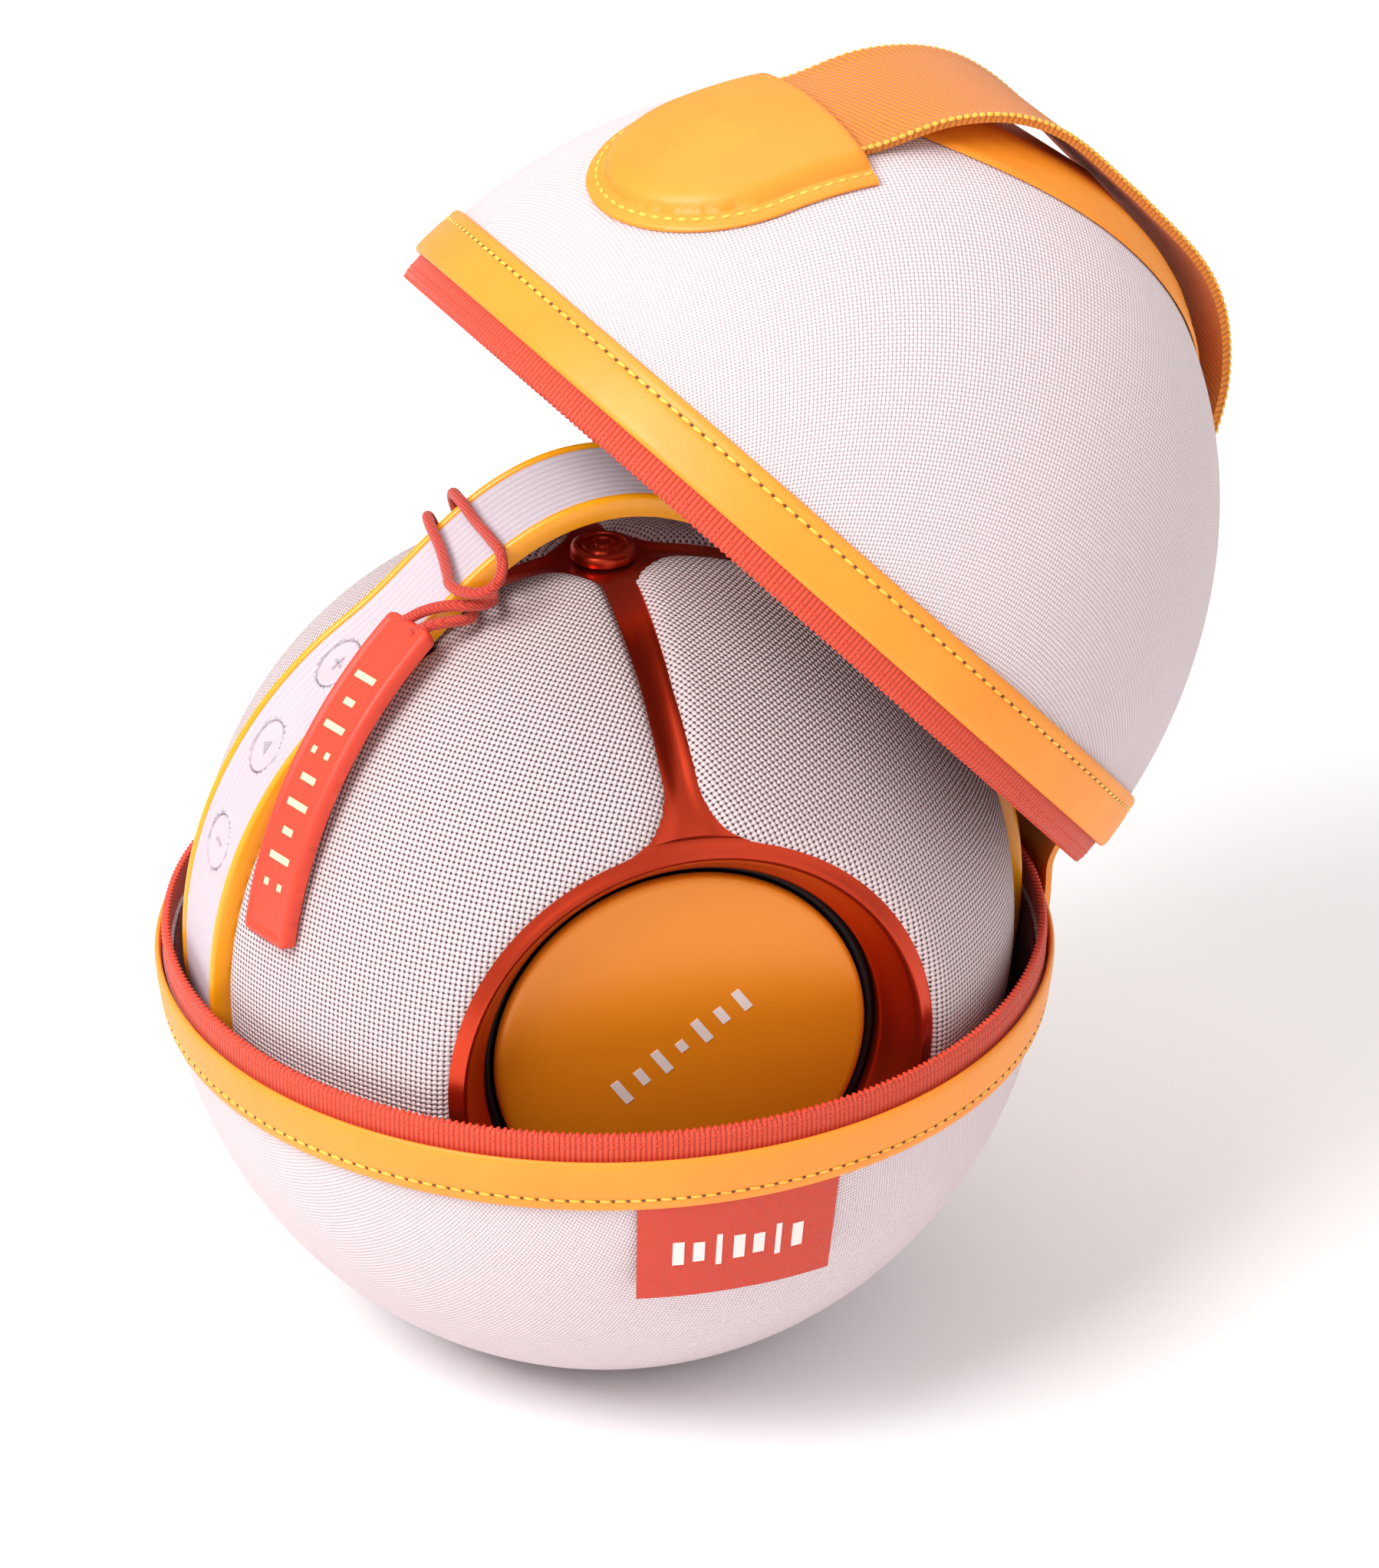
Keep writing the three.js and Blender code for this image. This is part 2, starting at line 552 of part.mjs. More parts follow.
// side drivers, seated in the housing behind their sound holes
const facetInset = Math.cos(Math.PI / BALL_FACETS) ** 2;
const driverFace = Math.sqrt((HOUSING_IN - 2 * GAP) ** 2 - DRIVER_R ** 2) * facetInset;
const driverProfile = [
  [0, driverFace - DRIVER_DEPTH], [DRIVER_MAGNET_R, driverFace - DRIVER_DEPTH],
  [DRIVER_MAGNET_R, driverFace - DRIVER_DEPTH + 8], [DRIVER_R - 2, driverFace - 3],
  [DRIVER_R, driverFace - 3], [DRIVER_R, driverFace], [DRIVER_R - 3, driverFace],
  [6, driverFace - 5], [0, driverFace - 3.5],
];
driverDirections.forEach((direction, i) => {
  add(speaker, `side_driver_${i + 1}`, aimed(turned(driverProfile, SMALL_FACETS), direction), blackRubber);
});

// electronics on a bracket between the woofers' motors
const inside = ball(HOUSING_IN - 2 * GAP);
const bracket = block([-FAR, -PACK_HALF, BRACKET_Z - BRACKET_T], [FAR, PACK_HALF, BRACKET_Z]).intersect(inside);
add(speaker, 'inner_bracket', bracket, steel);
const batteryTop = BRACKET_Z - BRACKET_T - GAP;
add(speaker, 'battery_pack', block(
  [-BATTERY_LENGTH / 2, -PACK_HALF, batteryTop - BATTERY_HEIGHT], [BATTERY_LENGTH / 2, PACK_HALF, batteryTop]),
cellBlue);
const boardLow = BRACKET_Z + GAP;
const board = block(
  [-BOARD_LENGTH / 2, -PACK_HALF, boardLow], [BOARD_LENGTH / 2, PACK_HALF, boardLow + BOARD_T]);
const chips = block([-9, -7, boardLow + BOARD_T / 2], [5, 7, boardLow + BOARD_T + 2])
  .add(block([12, -9, boardLow + BOARD_T / 2], [26, 2, boardLow + BOARD_T + 9]));
add(speaker, 'amplifier_board', board.add(chips), boardGreen);

// handle: a structural bow, its ribbed skin, and a piping along each edge
const skinWidth = HANDLE_WIDTH - 2 * TRIM_WIDTH - 2 * GAP;
const bowTop = -SKIN_T - GAP;
let bow = handleArc(-HANDLE_T, bowTop, skinWidth);
let skin = handleArc(-SKIN_T, 0, skinWidth);
const inHandle = (angle) => new THREE.Vector3(Math.sin(angle * DEGREE), 0, Math.cos(angle * DEGREE));
const buttonAngles = { ...VOLUME_ANGLES, ...POWER_ANGLES };
const BUTTON_TRAVEL = 0.6;
for (const angle of Object.values(buttonAngles)) {
  const pocketFloor = HANDLE_R - BUTTON_T - BUTTON_TRAVEL - GAP;
  const pocket = aimed(rod(BUTTON_R + BUTTON_CLEARANCE, pocketFloor, FAR), inHandle(angle));
  bow = bow.subtract(pocket);
  skin = skin.subtract(pocket);
}
const socketBox = (grow, low, high) => aimed(block(
  [-SOCKET_SIZE[1] / 2 - grow, -SOCKET_SIZE[0] / 2 - grow, low],
  [SOCKET_SIZE[1] / 2 + grow, SOCKET_SIZE[0] / 2 + grow, high]), inHandle(SOCKET_ANGLE));
bow = bow.subtract(socketBox(GAP, 0, FAR));
skin = skin.subtract(socketBox(GAP, 0, FAR));
add(speaker, 'handle_bow', bow, darkPlastic);
add(speaker, 'handle_skin', skin, lilacSilicone);
const trimMiddle = HANDLE_WIDTH / 2 - TRIM_WIDTH / 2;
add(speaker, 'handle_trim_front', handleArc(-HANDLE_T, TRIM_PROUD, TRIM_WIDTH, -trimMiddle), orangePiping);
add(speaker, 'handle_trim_rear', handleArc(-HANDLE_T, TRIM_PROUD, TRIM_WIDTH, trimMiddle), orangePiping);

for (const [name, angle] of Object.entries(buttonAngles)) {
  const cap = turned([
    [0, HANDLE_R - BUTTON_T], [BUTTON_R, HANDLE_R - BUTTON_T], [BUTTON_R, HANDLE_R - 0.5],
    [BUTTON_R - 0.5, HANDLE_R - 0.1], [0, HANDLE_R - 0.1],
  ], SMALL_FACETS);
  add(speaker, name, aimed(cap, inHandle(angle)), lilacSilicone);
}
const socketFace = HANDLE_R - 0.4;
const socketBack = HANDLE_R - HANDLE_T + GAP;
add(speaker, 'charging_socket',
  socketBox(0, socketBack, socketFace).subtract(socketBox(-0.7, socketBack + 0.8, FAR)), steel);

// underside: plate, rubber foot ring, contact ring and screws
const plateLow = FOOT_RING_HEIGHT + GAP - TREAD;
const basePlate = turned([
  [0, plateLow], [FOOT_RING_R + 1, plateLow], [BASE_PLATE_R, plateLow + 7], [BASE_PLATE_R, -HOUSING_R / 2],
  [0, -HOUSING_R / 2],
], CASE_FACETS).subtract(ball(HOUSING_R + GAP));
add(speaker, 'base_plate', basePlate, darkPlastic);
const treadIn = FOOT_RING_R - FOOT_RING_WIDTH;
add(speaker, 'foot_ring', turned([
  [treadIn, -TREAD], [FOOT_RING_R - 1, -TREAD], [FOOT_RING_R, -TREAD + 1],
  [FOOT_RING_R, plateLow - GAP], [treadIn, plateLow - GAP],
], CASE_FACETS), blackRubber);
const contactLow = plateLow - GAP - 0.8;
add(speaker, 'contact_ring', turned([
  [8, contactLow], [11, contactLow], [11, plateLow - GAP], [8, plateLow - GAP],
], SMALL_FACETS), brass);
for (let i = 0; i < 3; i += 1) {
  const screw = rod(2, contactLow, plateLow - GAP).translate([(11 + treadIn) / 2, 0, 0]);
  add(speaker, `base_screw_${i + 1}`, screw.rotate([0, 0, 120 * i]), steel);
}

// ---------------------------------------------------------------- tag and its cord loop

const edgeShift = HANDLE_WIDTH / 2 - 13;
const tagSide = TAG_TOP.clone().cross(TAG_FOOT).normalize();
const tagTurn = TAG_TOP.angleTo(TAG_FOOT);

// A bar bent along the ball: its back face starts over the handle's edge and ends on the cloth.
function tagBar() {
  const bar = new THREE.BoxGeometry(1, 1, 1, 8, 1, 1);
  const points = bar.attributes.position;
  for (let i = 0; i < points.count; i += 1) {
    const along = points.getX(i) + 0.5;
    const radius = THREE.MathUtils.lerp(TAG_TOP_R, TAG_FOOT_R, along) + TAG_T * (points.getZ(i) + 0.5);
    const place = TAG_TOP.clone().applyAxisAngle(tagSide, tagTurn * along).multiplyScalar(radius);
    place.addScaledVector(tagSide, TAG_WIDTH * points.getY(i));
    place.y -= edgeShift;
    points.setXYZ(i, place.x, place.y, place.z);
  }
  return solid(bar);
}
add(speaker, 'tag', tagBar(), redRubber);

// The cord's route in the handle's terms: angle from the top towards the left, distance from the
// ball's centre in the handle's plane, and place across the handle. It leaves the tag, goes under
// the handle, back over it, round both its own strands, over again, under and back to the tag.
// The numbers suit a handle 26 wide, 88 from the centre and 15.5 higher at its top, and the route
// follows any other handle.
const cordRoute = [
  [29.3, 93.0, -17.4], [26.5, 92.4, -17.8], [23.9, 90.8, -18.0], [21.8, 88.9, -16.8], [20.7, 87.6, -13.0],
  [20.3, 87.6, -7.0], [20.2, 87.6, 0], [20.1, 87.6, 7.0], [20.0, 87.7, 13.0], [20.0, 89.6, 16.6],
  [20.0, 92.8, 17.2], [20.2, 95.8, 15.6], [20.5, 96.9, 11.5], [20.9, 96.5, 0], [21.7, 96.5, -10.5],
  [22.0, 96.9, -15.2], [21.0, 96.4, -19.0], [19.2, 95.6, -20.8], [17.2, 96.0, -20.8], [15.8, 97.3, -18.8],
  [15.1, 99.2, -15.4], [15.3, 100.0, -10.5], [15.8, 99.7, 0], [16.2, 99.9, 10.5], [16.4, 98.8, 15.0],
  [16.5, 95.4, 17.1], [16.5, 91.8, 16.3], [16.6, 89.8, 12.8], [16.8, 89.9, 7.0], [16.9, 90.0, 0],
  [17.0, 89.8, -7.0], [17.4, 89.6, -12.6], [18.4, 90.2, -16.6], [20.6, 91.9, -17.8], [23.4, 93.6, -16.4],
  [26.3, 94.1, -14.4], [29.3, 93.8, -12.9],
].map(([angle, distance, across]) => {
  const nominal = 88 + (15.5 * (1 + Math.cos(Math.PI * angle / 36))) / 2;
  const reach = distance - nominal + handleFace(angle);
  const side = across + Math.sign(across) * Math.min(Math.abs(across) / 13, 1) * edgeShift;
  return new THREE.Vector3(-reach * Math.sin(angle * DEGREE), side, reach * Math.cos(angle * DEGREE));
});
const cordSection = new THREE.Shape().absarc(0, 0, CORD_R, 0, 2 * Math.PI, false);
const cordTube = new THREE.ExtrudeGeometry(cordSection, {
  steps: 48, curveSegments: 4, extrudePath: new THREE.CatmullRomCurve3(cordRoute), bevelEnabled: false,
});
add(speaker, 'tag_cord', solid(cordTube), redRubber);

export default model;
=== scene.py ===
# %% [markdown]
# # A ball loudspeaker in its open carrying case
# The imported model is the frame: every piece below goes where that model says, in metres, and
# rides on one of its bodies. We first load it.

# %% Load the frame
import json
import math

import bmesh
import bpy
from mathutils import Matrix, Vector


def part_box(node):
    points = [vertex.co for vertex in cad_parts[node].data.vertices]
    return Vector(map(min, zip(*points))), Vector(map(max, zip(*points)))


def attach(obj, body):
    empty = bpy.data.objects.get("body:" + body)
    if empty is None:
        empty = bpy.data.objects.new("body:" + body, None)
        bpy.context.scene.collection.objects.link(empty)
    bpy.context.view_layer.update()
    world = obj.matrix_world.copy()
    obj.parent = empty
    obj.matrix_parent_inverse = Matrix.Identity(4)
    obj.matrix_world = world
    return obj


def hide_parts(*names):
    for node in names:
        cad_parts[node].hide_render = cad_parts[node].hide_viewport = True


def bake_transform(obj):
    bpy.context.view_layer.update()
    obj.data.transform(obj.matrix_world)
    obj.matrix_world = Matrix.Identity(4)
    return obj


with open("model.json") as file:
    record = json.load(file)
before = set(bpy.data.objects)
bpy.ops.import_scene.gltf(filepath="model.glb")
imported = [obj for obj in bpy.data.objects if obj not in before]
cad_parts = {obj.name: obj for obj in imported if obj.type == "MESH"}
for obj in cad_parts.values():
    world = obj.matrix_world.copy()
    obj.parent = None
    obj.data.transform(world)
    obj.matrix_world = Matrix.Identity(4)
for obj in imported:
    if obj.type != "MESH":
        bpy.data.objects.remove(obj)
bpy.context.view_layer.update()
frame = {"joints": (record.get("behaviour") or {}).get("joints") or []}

# %% [markdown]
# ## Three places to work in
# The case's two halves and the speaker are each easiest to draw about their own middle. The lower
# half and the lid are both drawn upwards from the zip's plane. One matrix each then carries a piece
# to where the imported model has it: the lower half is mirrored down, the lid hangs on its hinge, and
# the speaker is turned a little to one side.

# %% Read the driving places from the frame
MM = 0.001
GAP = 0.3 * MM
joints = {joint["name"]: joint for joint in frame["joints"]}
hinge = Vector(joints["lid_hinge"]["pos_m"])
lid_open = math.radians(-joints["lid_hinge"]["range_deg"][0])
case_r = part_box("base_zip_tape")[1].x + GAP
rim_z = hinge.z
ring_low, ring_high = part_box("woofer_ring_front")
centre_z = (ring_low.z + ring_high.z) / 2
front = Vector(joints["woofer_front_travel"]["axis"])
yaw = math.atan2(front.x, -front.y)

BASE = Matrix.Translation((0, 0, rim_z)) @ Matrix.Diagonal((1, 1, -1, 1))
LID = (Matrix.Translation(hinge) @ Matrix.Rotation(lid_open, 4, "Y")
       @ Matrix.Translation((-hinge.x, 0, 0)))
SPEAKER = Matrix.Translation((0, 0, centre_z)) @ Matrix.Rotation(yaw, 4, "Z")
print("case radius", round(case_r, 5), "zip plane", rim_z, "ball centre", round(centre_z, 5))

# %% [markdown]
# ## Camera
# A long lens from above and from the left, far enough off to keep the ball round. The aim is a point
# to the right of the ball's middle and above it, because the open lid leans out that way.

# %% Camera
SHOT_AZIMUTH, SHOT_ELEVATION = math.radians(-28), math.radians(29)
SHOT_DISTANCE = 2.0
toward = Vector((
    math.sin(SHOT_AZIMUTH) * math.cos(SHOT_ELEVATION),
    -math.cos(SHOT_AZIMUTH) * math.cos(SHOT_ELEVATION),
    math.sin(SHOT_ELEVATION),
))
right = Vector((math.cos(SHOT_AZIMUTH), math.sin(SHOT_AZIMUTH), 0))
above = toward.cross(right)
AIM_RIGHT, AIM_ABOVE = 17.9 * MM, 26.2 * MM
aim = Vector((0, 0, centre_z)) + AIM_RIGHT * right + AIM_ABOVE * above
camera = bpy.data.objects.new("camera", bpy.data.cameras.new("camera"))
camera.data.lens = 218
camera.data.sensor_width = 36
camera.location = aim + SHOT_DISTANCE * toward
camera.rotation_mode = "QUATERNION"
camera.rotation_quaternion = (-toward).to_track_quat("-Z", "Y")
bpy.context.scene.collection.objects.link(camera)
bpy.context.scene.camera = camera

# %% [markdown]
# ## Shader sums written as Python
# A cloth's threads are sines of a place on the cloth, and that is a long chain of Math nodes. A
# `Wire` holds one node's output and overloads the operators, so `1 - warp * weft` adds the nodes by
# itself. Colours go through Mix nodes, because a Math node would turn them grey. A `Finish` is one
# material, and its `node` method makes every node that isn't plain arithmetic.

# %% Wire and Finish
def sum_node(finish, operation, *values):
    return finish.node("ShaderNodeMath", {"operation": operation}, dict(enumerate(values)))


class Wire:
    """One value on its way between nodes, worked with like a number."""

    def __init__(self, finish, socket):
        self.finish = finish
        self.socket = socket

    def __add__(self, other):
        return sum_node(self.finish, "ADD", self, other)

    def __sub__(self, other):
        return sum_node(self.finish, "SUBTRACT", self, other)

    def __rsub__(self, other):
        return sum_node(self.finish, "SUBTRACT", other, self)

    def __mul__(self, other):
        return sum_node(self.finish, "MULTIPLY", self, other)

    def __pow__(self, power):
        return sum_node(self.finish, "POWER", self, power)

    def __gt__(self, other):
        return sum_node(self.finish, "GREATER_THAN", self, other)

    def __abs__(self):
        return sum_node(self.finish, "ABSOLUTE", self)

    def sine(self):
        return sum_node(self.finish, "SINE", self)

    __radd__ = __add__
    __rmul__ = __mul__


class Finish:
    """One procedural material, with the Principled shader at its end."""

    def __init__(self, name):
        self.material = bpy.data.materials.new(name)
        self.material.use_nodes = True
        self.tree = self.material.node_tree
        self.shader = self.tree.nodes["Principled BSDF"]

    def node(self, kind, settings=None, sockets=None, output=0):
        made = self.tree.nodes.new(kind)
        for name, value in (settings or {}).items():
            setattr(made, name, value)
        for key, value in (sockets or {}).items():
            self.feed(made.inputs[key], value)
        return Wire(self, made.outputs[output])

    def feed(self, socket, value):
        if isinstance(value, Wire):
            self.tree.links.new(value.socket, socket)
        else:
            socket.default_value = value

    def surface(self, **sockets):
        for name, value in sockets.items():
            self.feed(self.shader.inputs[name.replace("_", " ")], value)

    def mix(self, share, low, high):
        settings = {"data_type": "RGBA"}
        return self.node("ShaderNodeMix", settings, {0: share, 6: low, 7: high}, output=2)

    def laid(self):
        """Place on the laid-out cloth, in metres, as two values."""
        flat = self.node("ShaderNodeUVMap", {"uv_map": "lay"})
        split = self.tree.nodes.new("ShaderNodeSeparateXYZ")
        self.tree.links.new(flat.socket, split.inputs[0])
        return Wire(self, split.outputs[0]), Wire(self, split.outputs[1])

    def place(self):
        return self.node("ShaderNodeTexCoord", output="Object")

    def clouds(self, scale, detail=2.0):
        sockets = {"Vector": self.place(), "Scale": scale, "Detail": detail}
        return self.node("ShaderNodeTexNoise", None, sockets)

    def cells(self, scale):
        sockets = {"Vector": self.place(), "Scale": scale}
        return self.node("ShaderNodeTexVoronoi", {"feature": "DISTANCE_TO_EDGE"}, sockets)

    def relief(self, height, depth, strength=1.0):
        sockets = {"Height": height, "Distance": depth, "Strength": strength}
        self.surface(Normal=self.node("ShaderNodeBump", None, sockets))


def paint(red, green, blue):
    """A colour given as on a screen, 0 to 255, turned into the light it stands for."""
    def light(value):
        value /= 255
        return value / 12.92 if value <= 0.04045 else ((value + 0.055) / 1.055) ** 2.4
    return (light(red), light(green), light(blue), 1.0)


# %% [markdown]
# ## Woven finishes
# In a plain weave each thread goes over one neighbour and under the next. Two sines, one for each
# direction, tell where the threads are, and the sign of their product tells which one lies on top.
# The same sum makes the case's coarse cloth, the speaker's open cloth and the ribbon of the label;
# only the pitch, the colours and how open the cloth is differ.

# %% Plain weave
def woven(name, pitch, thread, shade, open_share, roughness, depth):
    cloth = Finish(name)
    u, v = cloth.laid()
    across, along = (u * (math.pi / pitch)).sine(), (v * (math.pi / pitch)).sine()
    warp, weft = abs(across), abs(along)
    over = across * along > 0.0
    height = over * warp * weft ** 0.4 + (1 - over) * warp ** 0.4 * weft
    hole = (1 - warp) * (1 - weft)
    slub = cloth.clouds(1 / (9 * pitch), 3)
    # Painted shade: the low parts of the threads take a darker copy of the thread colour, and the gaps
    # between the threads take the shade colour.
    shut = cloth.node("ShaderNodeMapRange", None, {0: hole, 1: open_share, 2: open_share + 0.35})
    worn = cloth.mix(slub, [c * 0.93 for c in thread[:3]] + [1], thread)
    lit = cloth.mix(height, [c * 0.86 for c in thread[:3]] + [1], worn)
    cloth.surface(Base_Color=cloth.mix(shut, lit, shade), Roughness=roughness,
                  Sheen_Weight=0.25, Sheen_Roughness=0.4)
    cloth.relief(height - shut * 0.8, depth)
    return cloth


case_cloth = woven(
    "case_cloth", 0.9 * MM, paint(248, 228, 231), paint(204, 176, 184), 0.3, 0.88, 0.24 * MM)
acoustic_cloth = woven(
    "acoustic_cloth", 1.15 * MM, paint(240, 216, 217), paint(70, 34, 40), 0.14, 0.9, 0.4 * MM)
label_ribbon = woven(
    "label_ribbon", 0.5 * MM, paint(222, 66, 42), paint(160, 34, 22), 0.5, 0.75, 0.1 * MM)
lining_knit = woven(
    "lining_knit", 0.9 * MM, paint(128, 34, 24), paint(60, 12, 10), 0.4, 0.92, 0.2 * MM)

# %% [markdown]
# ## Ribbed finishes
# Zip tape and strap webbing are ribbed: fine ribs run straight across the tape, with a finer thread
# along it. A row of ribs is one sine along the tape.

# %% Zip tape, webbing and the braid of the tag's cord
def ribbed(name, rib, thread, bright, dark, roughness, depth, slant=0.0):
    tape = Finish(name)
    u, v = tape.laid()
    ribs = abs(((u + v * slant) * (math.pi / rib)).sine())
    threads = abs(((v - u * slant) * (math.pi / thread)).sine())
    height = ribs ** 0.7 * (0.75 + 0.25 * threads)
    tone = tape.clouds(300, 3)
    faded = tape.mix(tone, [c * 0.9 for c in bright[:3]] + [1], bright)
    # Painted shade: the grooves between the ribs take the dark colour, and the rib tops the tape's own
    # colour.
    tape.surface(Base_Color=tape.mix(height, dark, faded), Roughness=roughness,
                 Sheen_Weight=0.2, Sheen_Roughness=0.35)
    tape.relief(height, depth)
    return tape


zip_tape = ribbed("zip_tape", 1.1 * MM, 0.5 * MM, paint(232, 82, 52), paint(176, 40, 22), 0.7, 0.22 * MM)
webbing = ribbed(
    "webbing", 1.3 * MM, 0.7 * MM, paint(240, 142, 40), paint(190, 92, 16), 0.72, 0.25 * MM, 0.35)


def knitted(name, stitch, bright, dark):
    """A knitted tube's small stitches, from its place in space, as a curve has no flat pattern."""
    cord_finish = Finish(name)
    split = cord_finish.tree.nodes.new("ShaderNodeSeparateXYZ")
    cord_finish.tree.links.new(cord_finish.place().socket, split.inputs[0])
    x, y, z = (Wire(cord_finish, socket) for socket in split.outputs)
    one = abs(((x + z) * (math.pi / stitch)).sine())
    other = abs(((y - z) * (math.pi / stitch)).sine())
    height = (one * other) ** 0.5
    # Painted shade: the hollows between the stitches take the dark colour.
    cord_finish.surface(Base_Color=cord_finish.mix(height, dark, bright), Roughness=0.62, Sheen_Weight=0.2)
    cord_finish.relief(height, 0.2 * MM)
    return cord_finish


braid = knitted("braid", 0.9 * MM, paint(228, 66, 40), paint(160, 28, 14))

# %% [markdown]
# ## Leather
# The binding, the pads and the hinge are one orange hide. Its grain is a net of small cells, which
# only dents the surface, and a slow cloud of tone keeps it from looking sprayed.

# %% Leather
def hide(name, colour, deep):
    skin = Finish(name)
    tone = skin.clouds(60, 4)
    grain = skin.cells(1500)
    skin.surface(Base_Color=skin.mix(tone, deep, colour), Roughness=0.42 + 0.12 * skin.clouds(500, 2),
                 Coat_Weight=0.06, Coat_Roughness=0.4)
    skin.relief(grain, 0.08 * MM, 0.5)
    return skin


leather = hide("leather", paint(252, 156, 42), paint(242, 138, 26))
thread = hide("thread", paint(255, 208, 92), paint(236, 170, 50))
# A dark brown for the needle holes between the stitches: painted shade.
needle_hole_shade = hide("needle_hole_shade", paint(120, 62, 14), paint(96, 46, 10))

# %% [markdown]
# ## Metal, rubber and moulded finishes
# These share one recipe: a base colour that drifts a little, a roughness that drifts with it, and
# a fine dent pattern. Numbers that are the same all over sit on the shader's own sockets.

# %% The moulded and metal finishes
def moulded(name, colour, roughness, metal=0.0, grain=2500, depth=0.01, coat=0.0, drift=0.9):
    made = Finish(name)
    tone = made.clouds(90, 3)
    fine = made.clouds(grain, 2)
    made.surface(Base_Color=made.mix(tone, [c * drift for c in colour[:3]] + [1], colour),
                 Roughness=roughness * 0.88 + tone * (roughness * 0.24), Metallic=metal,
                 Coat_Weight=coat, Coat_Roughness=0.15)
    made.relief(fine, depth * MM, 0.6)
    return made


frame_metal = moulded("frame_metal", paint(206, 62, 32), 0.3, metal=0.92, depth=0.006, coat=0.15)
disc_paint = moulded("disc_paint", paint(248, 144, 22), 0.34, metal=0.1, depth=0.004, coat=0.1, drift=0.97)
black_rubber = moulded("black_rubber", paint(26, 24, 25), 0.6)
handle_silicone = moulded("handle_silicone", paint(204, 190, 198), 0.58, depth=0.015)
handle_core = moulded("handle_core", paint(206, 194, 202), 0.55)
piping_rubber = moulded("piping_rubber", paint(255, 166, 12), 0.34, coat=0.2)
tag_rubber = moulded("tag_rubber", paint(226, 66, 40), 0.5, depth=0.02)
cream_print = moulded("cream_print", paint(255, 226, 176), 0.6)
pale_print = moulded("pale_print", paint(250, 232, 226), 0.6)
faint_print = moulded("faint_print", paint(176, 162, 172), 0.6)
coil_plastic = moulded("coil_plastic", paint(224, 70, 44), 0.45)
slider_metal = moulded("slider_metal", paint(228, 84, 50), 0.35, metal=0.6, coat=0.2)
dark_plastic = moulded("dark_plastic", paint(58, 52, 55), 0.55)
zinc = moulded("zinc", paint(178, 180, 184), 0.38, metal=1.0)
gold = moulded("gold", paint(214, 176, 96), 0.3, metal=1.0)
board_lacquer = moulded("board_lacquer", paint(40, 92, 60), 0.4, coat=0.4)
cell_sleeve = moulded("cell_sleeve", paint(58, 92, 140), 0.45, coat=0.3)

# %% [markdown]
# ## From a bmesh to a piece
# Shapes are made with bmesh operators about their own middle. `piece` carries the shape to its
# place, so that the object itself stays at the origin, and hangs it on its body. A mirrored place
# turns faces inside out, so they are turned back. `lay` writes a cloth's flat pattern into a UV map
# in metres, so that a weave keeps its pitch on a dome.

# %% Helpers that finish a shape
def piece(name, shape, place, body, finish, slot, *replaced, sharp=40):
    shape.transform(place)
    if place.determinant() < 0:
        bmesh.ops.reverse_faces(shape, faces=shape.faces)
    mesh = bpy.data.meshes.new(name)
    shape.to_mesh(mesh)
    shape.free()
    mesh.shade_smooth()
    mesh.set_sharp_from_angle(angle=math.radians(sharp))
    made = bpy.data.objects.new(name, mesh)
    made.data.materials.append(finish.material)
    bpy.context.scene.collection.objects.link(made)
    if body:
        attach(made, body)
    if replaced:
        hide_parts(*replaced)
    return made


def finer(made, levels=1):
    """Rounds a piece with a subdivision surface."""
    rounding = made.modifiers.new("finer", "SUBSURF")
    rounding.levels = rounding.render_levels = levels
    return made


def walled(made, depth):
    """Gives an open skin a wall, inwards from its face."""
    wall = made.modifiers.new("wall", "SOLIDIFY")
    wall.thickness = depth
    wall.offset = -1
    return made


def lay(shape, chart):
    """Writes chart(point, middle of its face) into the shape's UV map."""
    flat = shape.loops.layers.uv.new("lay")
    for face in shape.faces:
        middle = face.calc_center_median()
        for loop in face.loops:
            loop[flat].uv = chart(loop.vert.co, middle)
    return shape


def dome_chart(point, middle):
    """Lays a dome flat from its pole: distance along the dome, turned to the same side."""
    away = math.hypot(point.x, point.y)
    turn = math.atan2(away, point.z)
    share = case_r * turn / max(away, 1e-6)
    return point.x * share, point.y * share


def hoop_chart(radius):
    """Lays a hoop flat: distance round it, then height."""
    def chart(point, middle):
        start = math.atan2(middle.y, middle.x)
        turn = math.atan2(point.y, point.x) - start
        turn -= 2 * math.pi * round(turn / (2 * math.pi))
        return (start + turn) * radius, point.z + point.xy.length
    return chart


def turned(profile, steps):
    """A profile of (radius, height) spun about +Z into a closed shape."""
    shape = bmesh.new()
    rim = [shape.verts.new((radius, 0, height)) for radius, height in profile]
    pairs = list(zip(rim, rim[1:]))
    if profile[0][0] > 1e-6 or profile[-1][0] > 1e-6:
        pairs.append((rim[-1], rim[0]))
    edges = [shape.edges.new(pair) for pair in pairs]
    bmesh.ops.spin(shape, geom=rim + edges, cent=(0, 0, 0), axis=(0, 0, 1), dvec=(0, 0, 0),
                   angle=2 * math.pi, steps=steps, use_merge=True, use_duplicate=False)
    bmesh.ops.remove_doubles(shape, verts=shape.verts, dist=1e-6)
    bmesh.ops.recalc_face_normals(shape, faces=shape.faces)
    return shape


def in_mm(points):
    return [(a * MM, b * MM) for a, b in points]


# %% [markdown]
# ## The case's two shells
# Both halves are moulded foam with cloth over it. Each is half an egg: its radius falls away from
# the zip plane as an ellipse does. The lower half stands on a flattened foot, which a smooth minimum
# makes without an edge. The lining is a second, thinner egg just inside.

